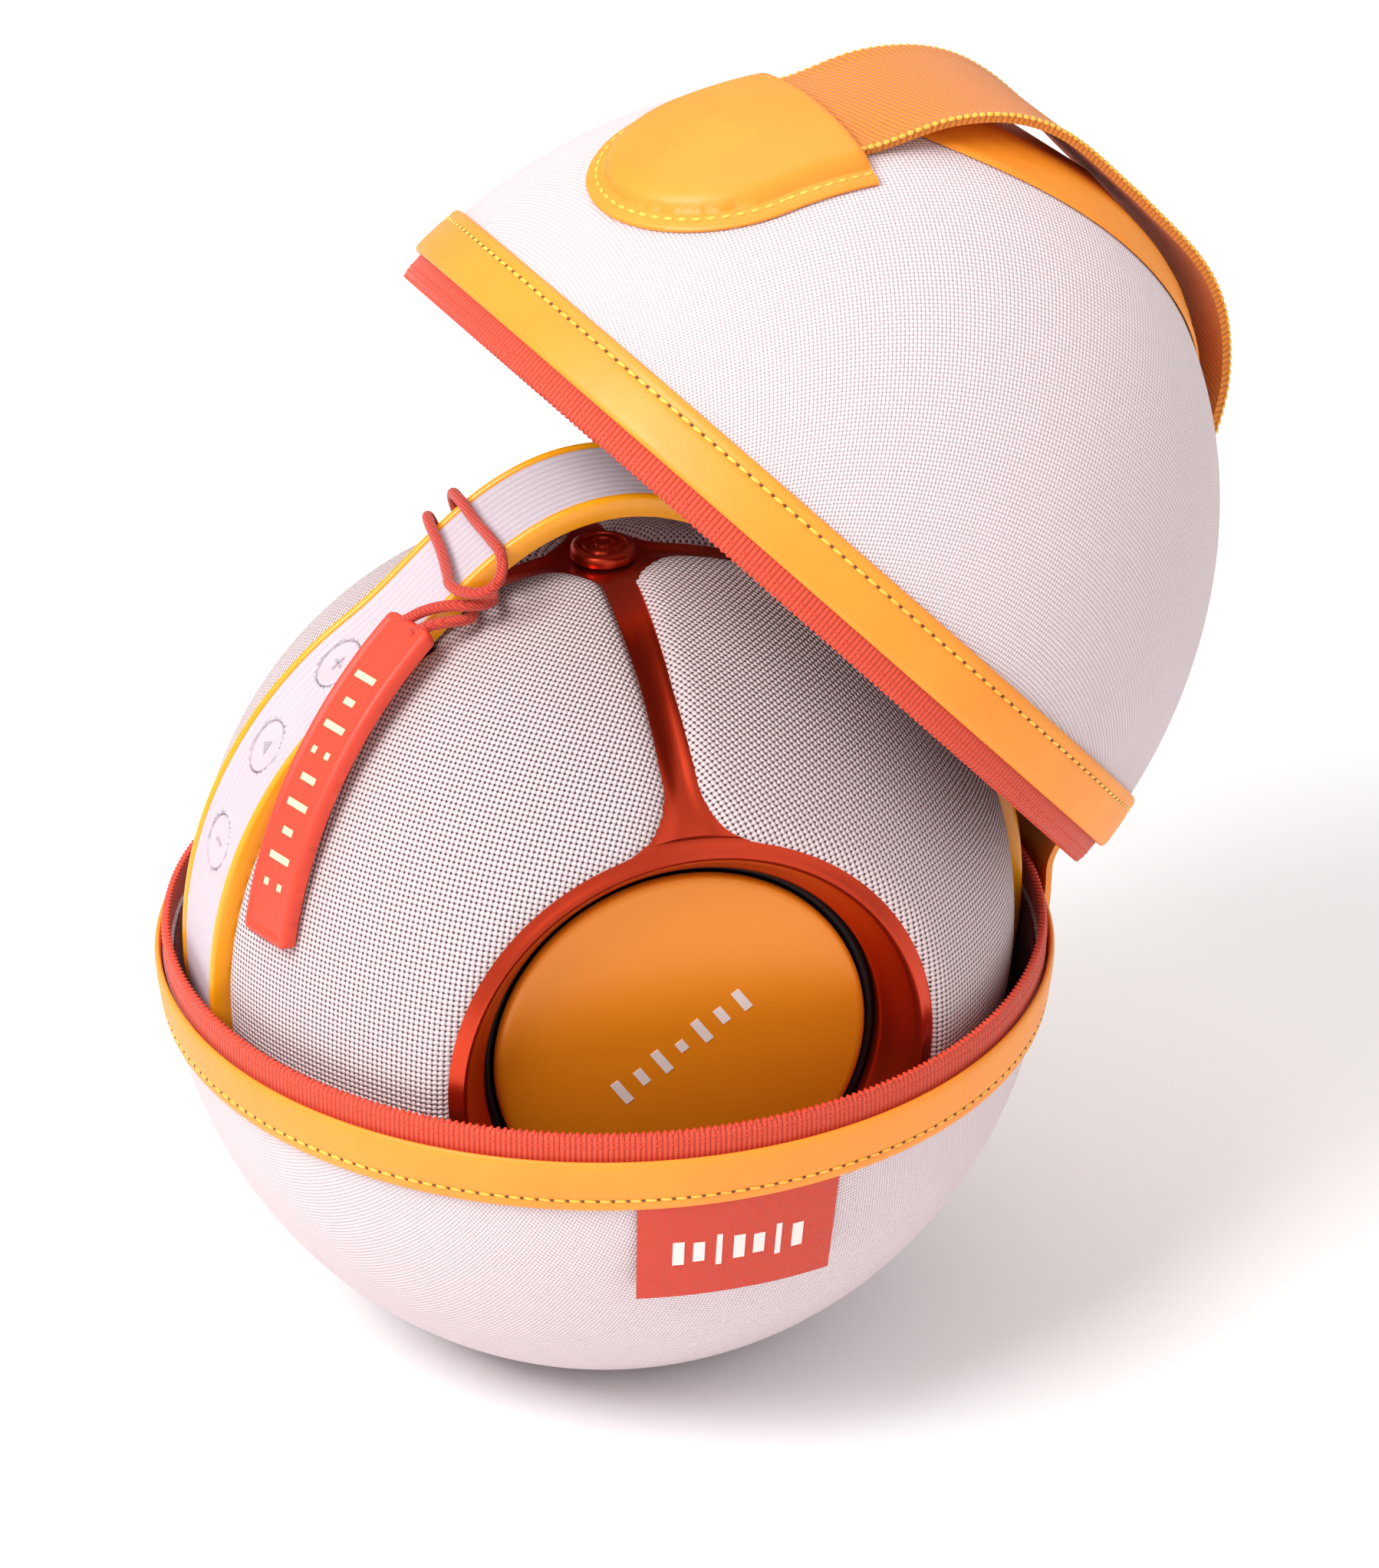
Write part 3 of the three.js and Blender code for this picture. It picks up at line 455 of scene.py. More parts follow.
# %% Shells and linings
LID_HEIGHT = 108 * MM
BASE_HEIGHT = rim_z + 5.5 * MM
SHELL_T = 2.3 * MM
LINING_T = 0.6 * MM
TAPE_WIDTH = 7 * MM
SHELL_START = TAPE_WIDTH + GAP
CASE_STEPS = 160


def smooth_least(a, b, reach):
    overlap = max(reach - abs(a - b), 0) / reach
    return min(a, b) - overlap * overlap * reach / 4


def dome_outline(height, offset, level):
    """Points of a dome's outline from its pole to where the shell starts."""
    steps = 46
    start = math.asin(SHELL_START / height)
    points = []
    for i in range(steps + 1):
        turn = math.pi / 2 - (math.pi / 2 - start) * i / steps
        radius = 0 if i == 0 else (case_r + offset) * math.cos(turn)
        points.append((radius, smooth_least((height + offset) * math.sin(turn), level, 5 * MM)))
    return points


def dome_radius(distance, height):
    return case_r * math.sqrt(1 - (distance / height) ** 2)


def dome_shell(height, outer, inner, floor):
    """A dome's wall; floor is how far from the zip plane the dome may reach, at its outside."""
    outside = dome_outline(height, outer, floor + outer)
    inside = dome_outline(height, inner, floor + inner)
    return lay(turned(outside + inside[::-1], CASE_STEPS), dome_chart)


NO_FLOOR = 1.0
HALVES = (("base", "case_base", BASE, BASE_HEIGHT, rim_z), ("lid", "lid", LID, LID_HEIGHT, NO_FLOOR))
for half, body, place, height, floor in HALVES:
    cloth_shape = dome_shell(height, 0, -SHELL_T, floor)
    piece(half + "_cloth", cloth_shape, place, body, case_cloth, "case_cloth", half + "_shell")
    lining_shape = dome_shell(height, -SHELL_T - GAP, -SHELL_T - GAP - LINING_T, floor)
    piece(half + "_liner", lining_shape, place, body, lining_knit, "lining", half + "_lining")

# %% [markdown]
# ## Leather binding and its stitching
# A strip of leather covers the shell's raw edge. It is a hoop with soft edges and a shallow groove,
# and in the groove lie the stitches: some two hundred short threads, each a ball stretched along
# the hoop and sunk at both ends. Between every two sits a small dark ball, which is painted shade
# for a needle hole.

# %% Bindings
STITCH_AT = 15.4 * MM
STITCH_PITCH = 3.1 * MM


def band_section(height):
    """The binding's outline: distance from the zip plane against how proud it stands."""
    outline = in_mm([
        (6.0, 0.3), (5.9, 0.9), (6.15, 1.4), (6.9, 1.75), (8.4, 1.8), (11.5, 1.75), (14.3, 1.7),
        (14.9, 1.55), (15.4, 1.28), (15.9, 1.55), (16.5, 1.7), (17.5, 1.6), (18.05, 1.25),
        (18.25, 0.7), (18.2, 0.3), (12.0, 0.3),
    ])
    return [(dome_radius(distance, height) + proud, distance) for distance, proud in outline]


def thread_at(shape, at, along, out, length, girth):
    """One stitch: a small ball stretched along its seam, with its poles at the seam's holes."""
    along, out = along.normalized() * (length / 2), out.normalized() * (girth * 0.42)
    side = out.cross(along).normalized() * (girth / 2)
    rings = []
    for tilt in (math.pi / 5, 2 * math.pi / 5, 3 * math.pi / 5, 4 * math.pi / 5):
        turns = [math.pi * i / 4 for i in range(8)]
        rings.append([shape.verts.new(at + along * math.cos(tilt) + (side * math.cos(t) + out * math.sin(t))
                                      * math.sin(tilt)) for t in turns])
    start, end = shape.verts.new(at + along), shape.verts.new(at - along)
    for i in range(8):
        j = (i + 1) % 8
        shape.faces.new((start, rings[0][i], rings[0][j]))
        shape.faces.new((end, rings[3][j], rings[3][i]))
        for near, far in zip(rings, rings[1:]):
            shape.faces.new((near[i], far[i], far[j], near[j]))


def all_round(shape, count):
    """Copies what the shape holds so that count of them stand round the axis."""
    bmesh.ops.spin(shape, geom=shape.verts[:] + shape.edges[:] + shape.faces[:], cent=(0, 0, 0),
                   axis=(0, 0, 1), dvec=(0, 0, 0), angle=2 * math.pi * (count - 1) / count,
                   steps=count - 1, use_merge=False, use_duplicate=True)
    return shape


def hoop_stitches(radius, distance, pitch, length, girth, slant=0.0):
    """Stitches all round a hoop at one distance from the zip plane."""
    shape = bmesh.new()
    thread_at(shape, Vector((radius, 0, distance)), Vector((0, 1, slant)), Vector((1, 0, 0)), length, girth)
    return all_round(shape, round(2 * math.pi * radius / pitch))


for half, body, place, height, floor in HALVES:
    binding = piece(half + "_binding", turned(band_section(height), CASE_STEPS), place, body,
                    leather, "leather", half + "_band")
    finer(binding)
    seam_r = dome_radius(STITCH_AT, height) + 1.45 * MM
    seam = hoop_stitches(seam_r, STITCH_AT, STITCH_PITCH, 2.5 * MM, 0.75 * MM, 0.1)
    piece(half + "_binding_stitches", seam, place, body, thread, "leather")
    # Small dark balls between the stitches: painted shade of the needle holes.
    holes = hoop_stitches(seam_r - 0.12 * MM, STITCH_AT, STITCH_PITCH, 0.9 * MM, 0.8 * MM)
    half_pitch = Matrix.Rotation(math.pi / round(2 * math.pi * seam_r / STITCH_PITCH), 4, "Z")
    piece(half + "_binding_hole_shades", holes, place @ half_pitch, body, needle_hole_shade, "leather")

# %% [markdown]
# ## Zip tape and teeth
# Between the leather and the opening stands the zip's ribbed tape. Two rows of fine stitches hold
# the coil, and the coil itself is a row of small loops along the edge, here one stretched ball each.

# %% Zip tapes, their stitches and their coils
TAPE_R = case_r - GAP
tape_section = [(case_r + r * MM, d * MM) for r, d in (
    (-0.35, 7.3), (-0.25, 4.0), (-0.3, 1.5), (-0.55, 0.75), (-1.0, 0.5), (-1.5, 0.6),
    (-1.75, 1.2), (-1.8, 4.0), (-1.85, 7.3),
)]
for half, body, place, height, floor in HALVES:
    tape = lay(turned(tape_section, CASE_STEPS), hoop_chart(TAPE_R))
    piece(half + "_tape", tape, place, body, zip_tape, "zip_tape", half + "_zip_tape", sharp=60)
    rows = hoop_stitches(TAPE_R - 0.02 * MM, 1.9 * MM, 1.7 * MM, 1.2 * MM, 0.4 * MM)
    piece(half + "_tape_seam_outer", rows, place, body, coil_plastic, "zip_tape")
    rows = hoop_stitches(TAPE_R + 0.05 * MM, 3.0 * MM, 1.7 * MM, 1.2 * MM, 0.4 * MM)
    piece(half + "_tape_seam_inner", rows, place, body, coil_plastic, "zip_tape")
    coil = bmesh.new()
    thread_at(coil, Vector((TAPE_R - 0.95 * MM, 0, 0.55 * MM)), Vector((1, 0, 0)), Vector((0, 0, 1)),
              1.7 * MM, 0.95 * MM)
    all_round(coil, round(2 * math.pi * TAPE_R / (1.5 * MM)))
    piece(half + "_zip_coil", coil, place, body, coil_plastic, "zip_tape")

# %% [markdown]
# ## The ball's surface, and where its ribs run
# A sphere with its poles on the woofers' axis has a grid line along every rib, so the ribs come out
# straight. `beside_rib` tells how far a point is from the nearest rib, ring, boss, collar or handle,
# in millimetres and negative on it. A smooth minimum flares the ribs where they meet.

# %% Distance from the cross frame
RIB_HALF, RING_R, BOSS_REACH, COLLAR_R = 4.0, 52.5, 9.2, 38.8
CHANNEL_HALF, CHANNEL_X, CHANNEL_END = 13.3, 38.9, -60.0


def beside_rib(at):
    x, y, z = at
    ring = math.hypot(x, z) - RING_R
    rib = smooth_least(smooth_least(abs(x) - RIB_HALF, abs(y) - RIB_HALF, 13), ring, 13)
    if z > 0:
        rib = smooth_least(rib, math.hypot(x, y) - BOSS_REACH, 5)
    else:
        rib = smooth_least(rib, math.hypot(x, y) - COLLAR_R, 5)
    return smooth_least(rib, max(abs(y) - CHANNEL_HALF, CHANNEL_X - abs(x), CHANNEL_END - z), 2)


def ball_grid(around, along):
    """A ball of radius 1 with its poles on Y."""
    shape = bmesh.new()
    bmesh.ops.create_uvsphere(shape, u_segments=around, v_segments=along, radius=1,
                              matrix=Matrix.Rotation(math.pi / 2, 4, "X"))
    return shape


def keep_where(shape, wanted):
    away = [face for face in shape.faces if not wanted(face)]
    bmesh.ops.delete(shape, geom=away, context="FACES")
    return shape


# %% [markdown]
# ## Cloth panels and cross frame
# Each panel swells out of the frame with a round edge, as cloth over a foam pad does. Its edge runs
# a little way under the metal, so that the two meet along a clean line. The ribs are dished: their
# middles lie lower than their edges, and the edges catch the light.

# %% Panels and frame
def panel_radius(margin):
    rise = min(max((margin + 1.2) / 5.2, 0), 1)
    return 83.0 + 3.3 * math.sqrt(1 - (1 - rise) ** 2)


def frame_radius(margin, at):
    edge = min(max((margin + 3.4) / 2.6, 0), 1)
    lowered = 1.0 if abs(at[1]) < CHANNEL_HALF and abs(at[0]) > CHANNEL_X and at[2] > CHANNEL_END else 0
    return 83.8 + 0.55 * edge * edge * (3 - 2 * edge) - lowered


for name, sx, sy in (("front_left", -1, -1), ("front_right", 1, -1), ("rear_left", -1, 1),
                     ("rear_right", 1, 1)):
    shape = ball_grid(288, 180)
    keep_where(shape, lambda face: all(vert.co.x * sx > 0.02 < vert.co.y * sy for vert in face.verts))
    margins = {vert: beside_rib(vert.co * 85) for vert in shape.verts}
    keep_where(shape, lambda face: min(margins[vert] for vert in face.verts) > -1.7)
    middle_way = Vector((sx, sy, 0.35)).normalized()
    side_way = middle_way.cross(Vector((0, 0, 1))).normalized()
    up_way = side_way.cross(middle_way)

    def panel_chart(point, middle):
        way = point.normalized()
        flat = Vector((way.dot(side_way), way.dot(up_way)))
        share = 0.0858 * math.acos(max(-1, min(1, way.dot(middle_way)))) / max(flat.length, 1e-6)
        return flat.x * share, flat.y * share

    for vert in shape.verts:
        vert.co = vert.co.normalized() * (panel_radius(margins[vert]) * MM)
    panel = piece("cloth_" + name, lay(shape, panel_chart), SPEAKER, "speaker", acoustic_cloth,
                  "acoustic_cloth", "panel_" + name, sharp=180)
    walled(panel, 1.2 * MM)

shape = ball_grid(512, 300)
margins = {vert: beside_rib(vert.co * 85) for vert in shape.verts}


def on_frame(face):
    at = face.calc_center_median() * 85
    return (min(margins[vert] for vert in face.verts) < 1.0 and math.hypot(at.x, at.z) > RING_R - 0.4
            and (at.z > 0 or math.hypot(at.x, at.y) > 36.0))


keep_where(shape, on_frame)
for vert in shape.verts:
    vert.co = vert.co.normalized() * (frame_radius(margins[vert], vert.co * 85) * MM)
walled(piece("frame_cross", shape, SPEAKER, "speaker", frame_metal, "frame_metal", "cross_frame",
             sharp=180), 2 * MM)

boss_profile = in_mm([
    (0, 87.0), (1.4, 86.9), (1.9, 86.2), (2.3, 86.15), (2.6, 86.9), (4.1, 86.8), (4.5, 86.1),
    (4.9, 86.1), (5.2, 86.7), (6.1, 86.6), (6.6, 86.2), (6.8, 85.5), (6.8, 84.2), (0, 84.2),
])
piece("boss", turned(boss_profile, 64), SPEAKER, "speaker", frame_metal, "frame_metal", "top_boss")

# %% [markdown]
# ## Woofers
# Each side has a polished ring that narrows to a throat in one curve, a black roll of rubber behind
# it, and a flat orange disc that moves. A row of small bars on the disc stands for its print.

# %% Rings, surrounds and discs
ring_profile = in_mm([
    (52.5, 62.0), (52.5, 66.0), (52.2, 66.45), (51.2, 67.0), (49.9, 68.0), (49.3, 68.5), (48.9, 68.7),
    (48.3, 68.5), (47.6, 67.6), (46.2, 65.6), (44.9, 63.6), (43.6, 61.9), (42.7, 60.8), (42.2, 60.2),
    (42.1, 59.4), (42.1, 54.75),
])
roll_profile = in_mm([
    (42.0, 50.4), (42.0, 56.3), (41.6, 57.2), (41.0, 57.6), (40.4, 57.3), (40.0, 56.4), (39.9, 52.8),
    (37.0, 52.1), (33.0, 51.6), (33.0, 50.4),
])
disc_profile = in_mm([
    (0, 59.25), (37.6, 59.25), (38.6, 59.1), (39.2, 58.7), (39.5, 58.1), (39.5, 57.2), (39.0, 56.65),
    (17.0, 56.65), (17.0, 28.0), (15.5, 28.0), (15.5, 56.65), (0, 56.65),
])
for side, turn in (("front", 90), ("rear", -90)):
    aimed = SPEAKER @ Matrix.Rotation(math.radians(turn), 4, "X")
    disc_body = "woofer_disc_" + side
    piece("ring_" + side, turned(ring_profile, 160), aimed, "speaker", frame_metal, "frame_metal",
          "woofer_ring_" + side)
    piece("roll_" + side, turned(roll_profile, 120), aimed, "speaker", black_rubber, "surround",
          "woofer_surround_" + side)
    piece("disc_" + side, turned(disc_profile, 128), aimed, disc_body, disc_paint, "disc",
          "woofer_disc_" + side)
    marks = bmesh.new()
    slant = Matrix.Rotation(math.radians(35), 4, "Z")
    for i, length in enumerate((3.6, 2.4, 3.6, 1.6, 3.6, 2.4, 3.2)):
        size = Matrix.Diagonal((2.0 * MM, length * 1.7 * MM, 0.16 * MM, 1))
        spot = Matrix.Translation(((i - 3) * 5.2 * MM, 0, 59.3 * MM))
        bmesh.ops.create_cube(marks, size=1, matrix=slant @ spot @ size)
    bmesh.ops.bevel(marks, geom=marks.edges[:], offset=0.05 * MM, segments=2, affect="EDGES")
    piece("disc_marks_" + side, marks, aimed, disc_body, pale_print, "disc")

# %% [markdown]
# ## Handle
# A section is spun about Y at one radius, and `on_handle` then carries each point out to the
# handle's face. The skin has ten ribs with fine grooves between them, and sinks in a round under
# each button. A bead of piping runs along each edge.

# %% Skin, piping and core
HANDLE_R, HANDLE_RISE, HANDLE_SPAN, HANDLE_END = 88.0, 15.5, 36.0, 130.0
BUTTONS = {"volume_down_button": -70.7, "play_button": -55.3, "volume_up_button": -40.2,
           "power_button": 44.0, "pairing_button": 60.0}
SOCKET_AT = 105.0


def handle_face(angle):
    away = min(abs(angle) / HANDLE_SPAN, 1)
    return HANDLE_R + HANDLE_RISE * (1 + math.cos(math.pi * away)) / 2


def on_handle(angle, across, out):
    """Place on the handle: degrees from the top towards +X, millimetres across and off its face."""
    turn, reach = math.radians(angle), handle_face(angle) + out
    return Vector((reach * math.sin(turn), across, reach * math.cos(turn))) * MM


def swept(section, steps):
    """A closed section of (across, out) in millimetres, spun to the handle's two ends and capped."""
    shape = bmesh.new()
    ring = [shape.verts.new((0, across, 100 + out)) for across, out in section]
    edges = [shape.edges.new(pair) for pair in zip(ring, ring[1:] + ring[:1])]
    bmesh.ops.rotate(shape, verts=ring, cent=(0, 0, 0),
                     matrix=Matrix.Rotation(math.radians(-HANDLE_END), 3, "Y"))
    bmesh.ops.spin(shape, geom=ring + edges, cent=(0, 0, 0), axis=(0, 1, 0), dvec=(0, 0, 0),
                   angle=math.radians(2 * HANDLE_END), steps=steps, use_duplicate=False)
    bmesh.ops.holes_fill(shape, edges=[edge for edge in shape.edges if edge.is_boundary])
    bmesh.ops.recalc_face_normals(shape, faces=shape.faces)
    return shape


def carried(shape, change=None):
    for vert in shape.verts:
        angle = math.degrees(math.atan2(vert.co.x, vert.co.z))
        across, out = vert.co.y, math.hypot(vert.co.x, vert.co.z) - 100
        if change:
            angle, across, out = change(angle, across, out)
        vert.co = on_handle(angle, across, out)
    return shape


def sunk_at_buttons(angle, across, out):
    per_degree = math.radians(1) * HANDLE_R
    for at in BUTTONS.values():
        along = (angle - at) * per_degree
        away = math.hypot(along, across)
        if away < 6.6 and out > -0.9:
            wanted = 5.98 if away < 6.05 else 6.12
            share = wanted / away if away > 5.5 else 1
            return at + along * share / per_degree, across * share, -1.45 if away < 6.05 else out
    if abs(angle - SOCKET_AT) * per_degree < 2.6 and abs(across) < 5.2 and out > -0.9:
        out = -1.45
    return angle, across, out


RIB_PITCH = 2.18
skin_top = []
for i in range(10):
    middle = (i - 4.5) * RIB_PITCH
    skin_top += [(middle + side * RIB_PITCH, out) for side, out in (
        (-0.42, -0.16), (-0.3, -0.03), (0, 0.02), (0.3, -0.03), (0.42, -0.16), (0.5, -0.42))]
skin_section = [(-10.9, -1.55), (-10.9, -0.42)] + skin_top[:-1] + [(10.9, -0.42), (10.9, -1.55)]
piece("grip_skin", carried(swept(skin_section, 600), sunk_at_buttons), SPEAKER, "speaker",
      handle_silicone, "handle_band", "handle_skin", sharp=50)
bead = [(11.1, -4.6), (11.1, -0.6), (11.25, -0.05), (11.6, 0.28), (12.1, 0.4), (12.6, 0.28), (12.95, -0.05),
        (13.05, -0.6), (13.0, -4.2), (12.7, -4.6)]
for side, sign in (("front", -1), ("rear", 1)):
    section = [(across * sign, out) for across, out in bead]
    piece("piping_" + side, carried(swept(section, 320)), SPEAKER, "speaker", piping_rubber,
          "handle_trim", "handle_trim_" + side)

# %% [markdown]
# ## Buttons
# The caps are slightly dished. Their marks are plain bars, a triangle, a ring and a dot, standing a
# hair above the cap, and each rides on its own button.

# %% Button caps and marks
cap_profile = in_mm([
    (0, 87.62), (3.4, 87.66), (4.7, 87.82), (5.2, 87.86), (5.55, 87.7), (5.7, 87.3), (5.7, 85.1), (0, 85.1),
])
mark_top = 87.78 * MM


def bar_mark(shape, length, width, turn=0.0):
    size = Matrix.Diagonal((length * MM, width * MM, 0.3 * MM, 1))
    spot = Matrix.Rotation(turn, 4, "Z") @ Matrix.Translation((0, 0, mark_top - 0.1 * MM))
    bmesh.ops.create_cube(shape, size=1, matrix=spot @ size)


def disc_mark(shape, radius, segments):
    bmesh.ops.create_cone(shape, cap_ends=True, segments=segments, radius1=radius * MM,
                          radius2=radius * MM, depth=0.3 * MM,
                          matrix=Matrix.Translation((0, 0, mark_top - 0.1 * MM)))


for name, angle in BUTTONS.items():
    aimed = SPEAKER @ Matrix.Rotation(math.radians(angle), 4, "Y")
    piece(name + "_cap", turned(cap_profile, 48), aimed, name, handle_silicone, "handle_band", name)
    mark = bmesh.new()
    if name == "play_button":
        disc_mark(mark, 1.9, 3)
    elif name == "power_button":
        mark.free()
        mark = turned([(1.5 * MM, mark_top), (1.9 * MM, mark_top), (1.9 * MM, mark_top - 0.3 * MM),
                       (1.5 * MM, mark_top - 0.3 * MM)], 32)
        bar_mark(mark, 0.45, 1.9)
    elif name == "pairing_button":
        disc_mark(mark, 0.9, 20)
    else:
        bar_mark(mark, 0.6, 3.6)
        if name == "volume_up_button":
            bar_mark(mark, 0.6, 3.6, math.pi / 2)
    piece(name + "_mark", mark, aimed, name, faint_print, "handle_band")

# %% [markdown]
# ## Bent bars
# The tag, the strap, its pads and the leather hinge are all slabs that follow some curved surface.
# `bar` makes a slab from a cube by cutting it along its three edges' directions, and `bent` then
# gives every point of it, as three shares from 0 to 1, a place.

# %% Slabs that bend
def bar(along, across, through=1):
    shape = bmesh.new()
    bmesh.ops.create_cube(shape, size=1, matrix=Matrix.Translation((0.5, 0.5, 0.5)))
    for axis, cuts in enumerate((along, across, through)):
        edges = [edge for edge in shape.edges
                 if abs((edge.verts[0].co - edge.verts[1].co)[axis]) > 0.01]
        if cuts > 1:
            bmesh.ops.subdivide_edges(shape, edges=edges, cuts=cuts - 1, use_grid_fill=True)
    return shape


def bent(shape, place, pattern=None):
    """place(share along, across, through) gives a point; pattern gives its place on the cloth."""
    shares = {vert: tuple(vert.co) for vert in shape.verts}
    if pattern:
        flat = shape.loops.layers.uv.new("lay")
        for face in shape.faces:
            for loop in face.loops:
                loop[flat].uv = pattern(*shares[loop.vert])
    for vert in shape.verts:
        vert.co = place(*shares[vert])
    bmesh.ops.recalc_face_normals(shape, faces=shape.faces)
    return shape


# %% [markdown]
# ## Tag and its cord
# The tag is a soft bar with rounded ends and a raised border. Its front carries a plain cream
# pattern. The cord leaves it, goes twice over the handle, and is a knitted tube.

# %% Tag
TAG_TOP = Vector((-0.499, -0.165, 0.851)).normalized()
TAG_FOOT = Vector((-0.903, -0.348, 0.251)).normalized()
TAG_SIDE = TAG_TOP.cross(TAG_FOOT).normalized()
TAG_TURN = TAG_TOP.angle(TAG_FOOT)
TAG_TOP_R, TAG_FOOT_R = 91.2, 86.1
TAG_LENGTH = TAG_TURN * 91
TAG_CORNER, TAG_BORDER = 1.6, 1.5


def on_tag(along, across, height):
    """Place on the tag: share along it, millimetres across, millimetres above its back."""
    way = Matrix.Rotation(TAG_TURN * along, 3, TAG_SIDE) @ TAG_TOP
    return (way * (TAG_TOP_R + (TAG_FOOT_R - TAG_TOP_R) * along + height) + TAG_SIDE * across) * MM


def tag_place(along, across, through):
    to_end = min(along, 1 - along) * TAG_LENGTH
    reached = 1.05 * along - 0.05
    half = 7 - TAG_CORNER + math.sqrt(TAG_CORNER ** 2 - max(TAG_CORNER - to_end, 0) ** 2)
    aside = (across * 2 - 1) * half
    edge = min(half - abs(aside), to_end)
    round_off = (1 - min(edge / 1.1, 1)) ** 2 * 0.9
    if through > 0.5:
        sunk = min(max((edge - TAG_BORDER) / 0.5, 0), 1) * 0.45
        height = 4.1 - round_off - sunk
    else:
        height = round_off
    return on_tag(reached, aside, height)


piece("tag_bar", bent(bar(96, 40, 2), tag_place), SPEAKER, "tag", tag_rubber, "tag_rubber", "tag", sharp=60)
tag_print = bmesh.new()
for i in range(9):
    along, length = 0.16 + 0.083 * i, (6.4, 3.2, 6.4, 1.4, 4.6)[i % 5]
    for aside in ((0,) if length > 3 else (-2.2, 2.2)):
        at, next_at = on_tag(along, aside, 3.68), on_tag(along + 0.01, aside, 3.68)
        out = (on_tag(along, aside, 4) - at).normalized()
        way = (next_at - at).normalized()
        turn = Matrix((way, TAG_SIDE, way.cross(TAG_SIDE))).transposed().to_4x4()
        size = Matrix.Diagonal((1.5 * MM, length * MM, 0.16 * MM, 1))
        bmesh.ops.create_cube(tag_print, size=1, matrix=Matrix.Translation(at) @ turn @ size)
piece("tag_pattern", tag_print, SPEAKER, "tag", cream_print, "tag_rubber")

# %% [markdown]
# The cord keeps to listed points in the handle's own terms: degrees from the top towards the
# left, millimetres from the ball's middle, and millimetres across the handle.

# %% Cord
ROUTE = [
    (29.3, 93.0, -17.4), (26.5, 92.4, -17.8), (23.9, 90.8, -18.0), (21.8, 88.9, -16.8), (20.7, 87.6, -13.0),
    (20.3, 87.6, -7.0), (20.2, 87.6, 0), (20.1, 87.6, 7.0), (20.0, 87.7, 13.0), (20.0, 89.6, 16.6),
    (20.0, 92.8, 17.2), (20.2, 95.8, 15.6), (20.5, 96.9, 11.5), (20.9, 96.5, 0), (21.7, 96.5, -10.5),
    (22.0, 96.9, -15.2), (21.0, 96.4, -19.0), (19.2, 95.6, -20.8), (17.2, 96.0, -20.8), (15.8, 97.3, -18.8),
    (15.1, 99.2, -15.4), (15.3, 100.0, -10.5), (15.8, 99.7, 0), (16.2, 99.9, 10.5), (16.4, 98.8, 15.0),
    (16.5, 95.4, 17.1), (16.5, 91.8, 16.3), (16.6, 89.8, 12.8), (16.8, 89.9, 7.0), (16.9, 90.0, 0),
    (17.0, 89.8, -7.0), (17.4, 89.6, -12.6), (18.4, 90.2, -16.6), (20.6, 91.9, -17.8), (23.4, 93.6, -16.4),
    (26.3, 94.1, -14.4), (29.3, 93.8, -12.9),
]
CORD_LENGTH, CORD_THICKNESS = 0.197, 2.4 * MM
route = [SPEAKER @ (Vector((-d * math.sin(math.radians(a)), w, d * math.cos(math.radians(a)))) * MM)
         for a, d, w in ROUTE]
line = bpy.data.curves.new("cord", "CURVE")
line.dimensions = "3D"
line.bevel_depth = CORD_THICKNESS / 2
line.bevel_resolution = 6
line.resolution_u = 10
line.use_fill_caps = True
spline = line.splines.new("BEZIER")
spline.bezier_points.add(len(route) - 1)
for point, at in zip(spline.bezier_points, route):
    point.co = at
    point.handle_left_type = point.handle_right_type = "AUTO"
cord = bpy.data.objects.new("cord", line)
line.materials.append(braid.material)
bpy.context.scene.collection.objects.link(cord)
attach(cord, "speaker")
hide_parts("tag_cord")

# %% [markdown]
# ## The lid's strap
# The webbing strap crosses the lid's top, standing off it in two low arches, with a raised
# selvedge along both sides. Its ends go into two padded leather tabs, and an oval saddle of stepped
# leather lies under its middle. `on_lid` places a point by its angles from the pole.

# %% Strap, tabs and saddle
TAB_START = 42.0


def on_lid(along, across, out):
    """Degrees from the pole along X, millimetres across, millimetres off the dome."""
    turn, aside = math.radians(along), across * MM / 0.097
    way = Vector((math.sin(turn) * math.cos(aside), math.sin(aside), math.cos(turn) * math.cos(aside)))
    at = Vector((case_r * way.x, case_r * way.y, LID_HEIGHT * way.z))
    normal = Vector((way.x / case_r, way.y / case_r, way.z / LID_HEIGHT)).normalized()
    return at + normal * (out * MM)


def strap_raise(angle):
    away = min(abs(angle) / TAB_START, 1)
    return 0.6 + 2.5 * (1 - away) + 4.2 * math.sin(math.pi * away) ** 2


def strap_place(along, across, through):
    angle = (along * 2 - 1) * 49.5
    aside = across * 2 - 1
    selvedge = 0.3 if abs(aside) > 0.9 else 0
    out = strap_raise(angle) + (1.75 + selvedge if through > 0.5 else 0)
    turn = math.radians(angle)
    level = Vector(((case_r + out * MM) * math.sin(turn), aside * 19 * MM,
                    (LID_HEIGHT + out * MM) * math.cos(turn)))
    close = min(max((abs(angle) - 30) / 11, 0), 1)
    return level.lerp(on_lid(angle, aside * 19, out - 0.15 * close), close * close * (3 - 2 * close))


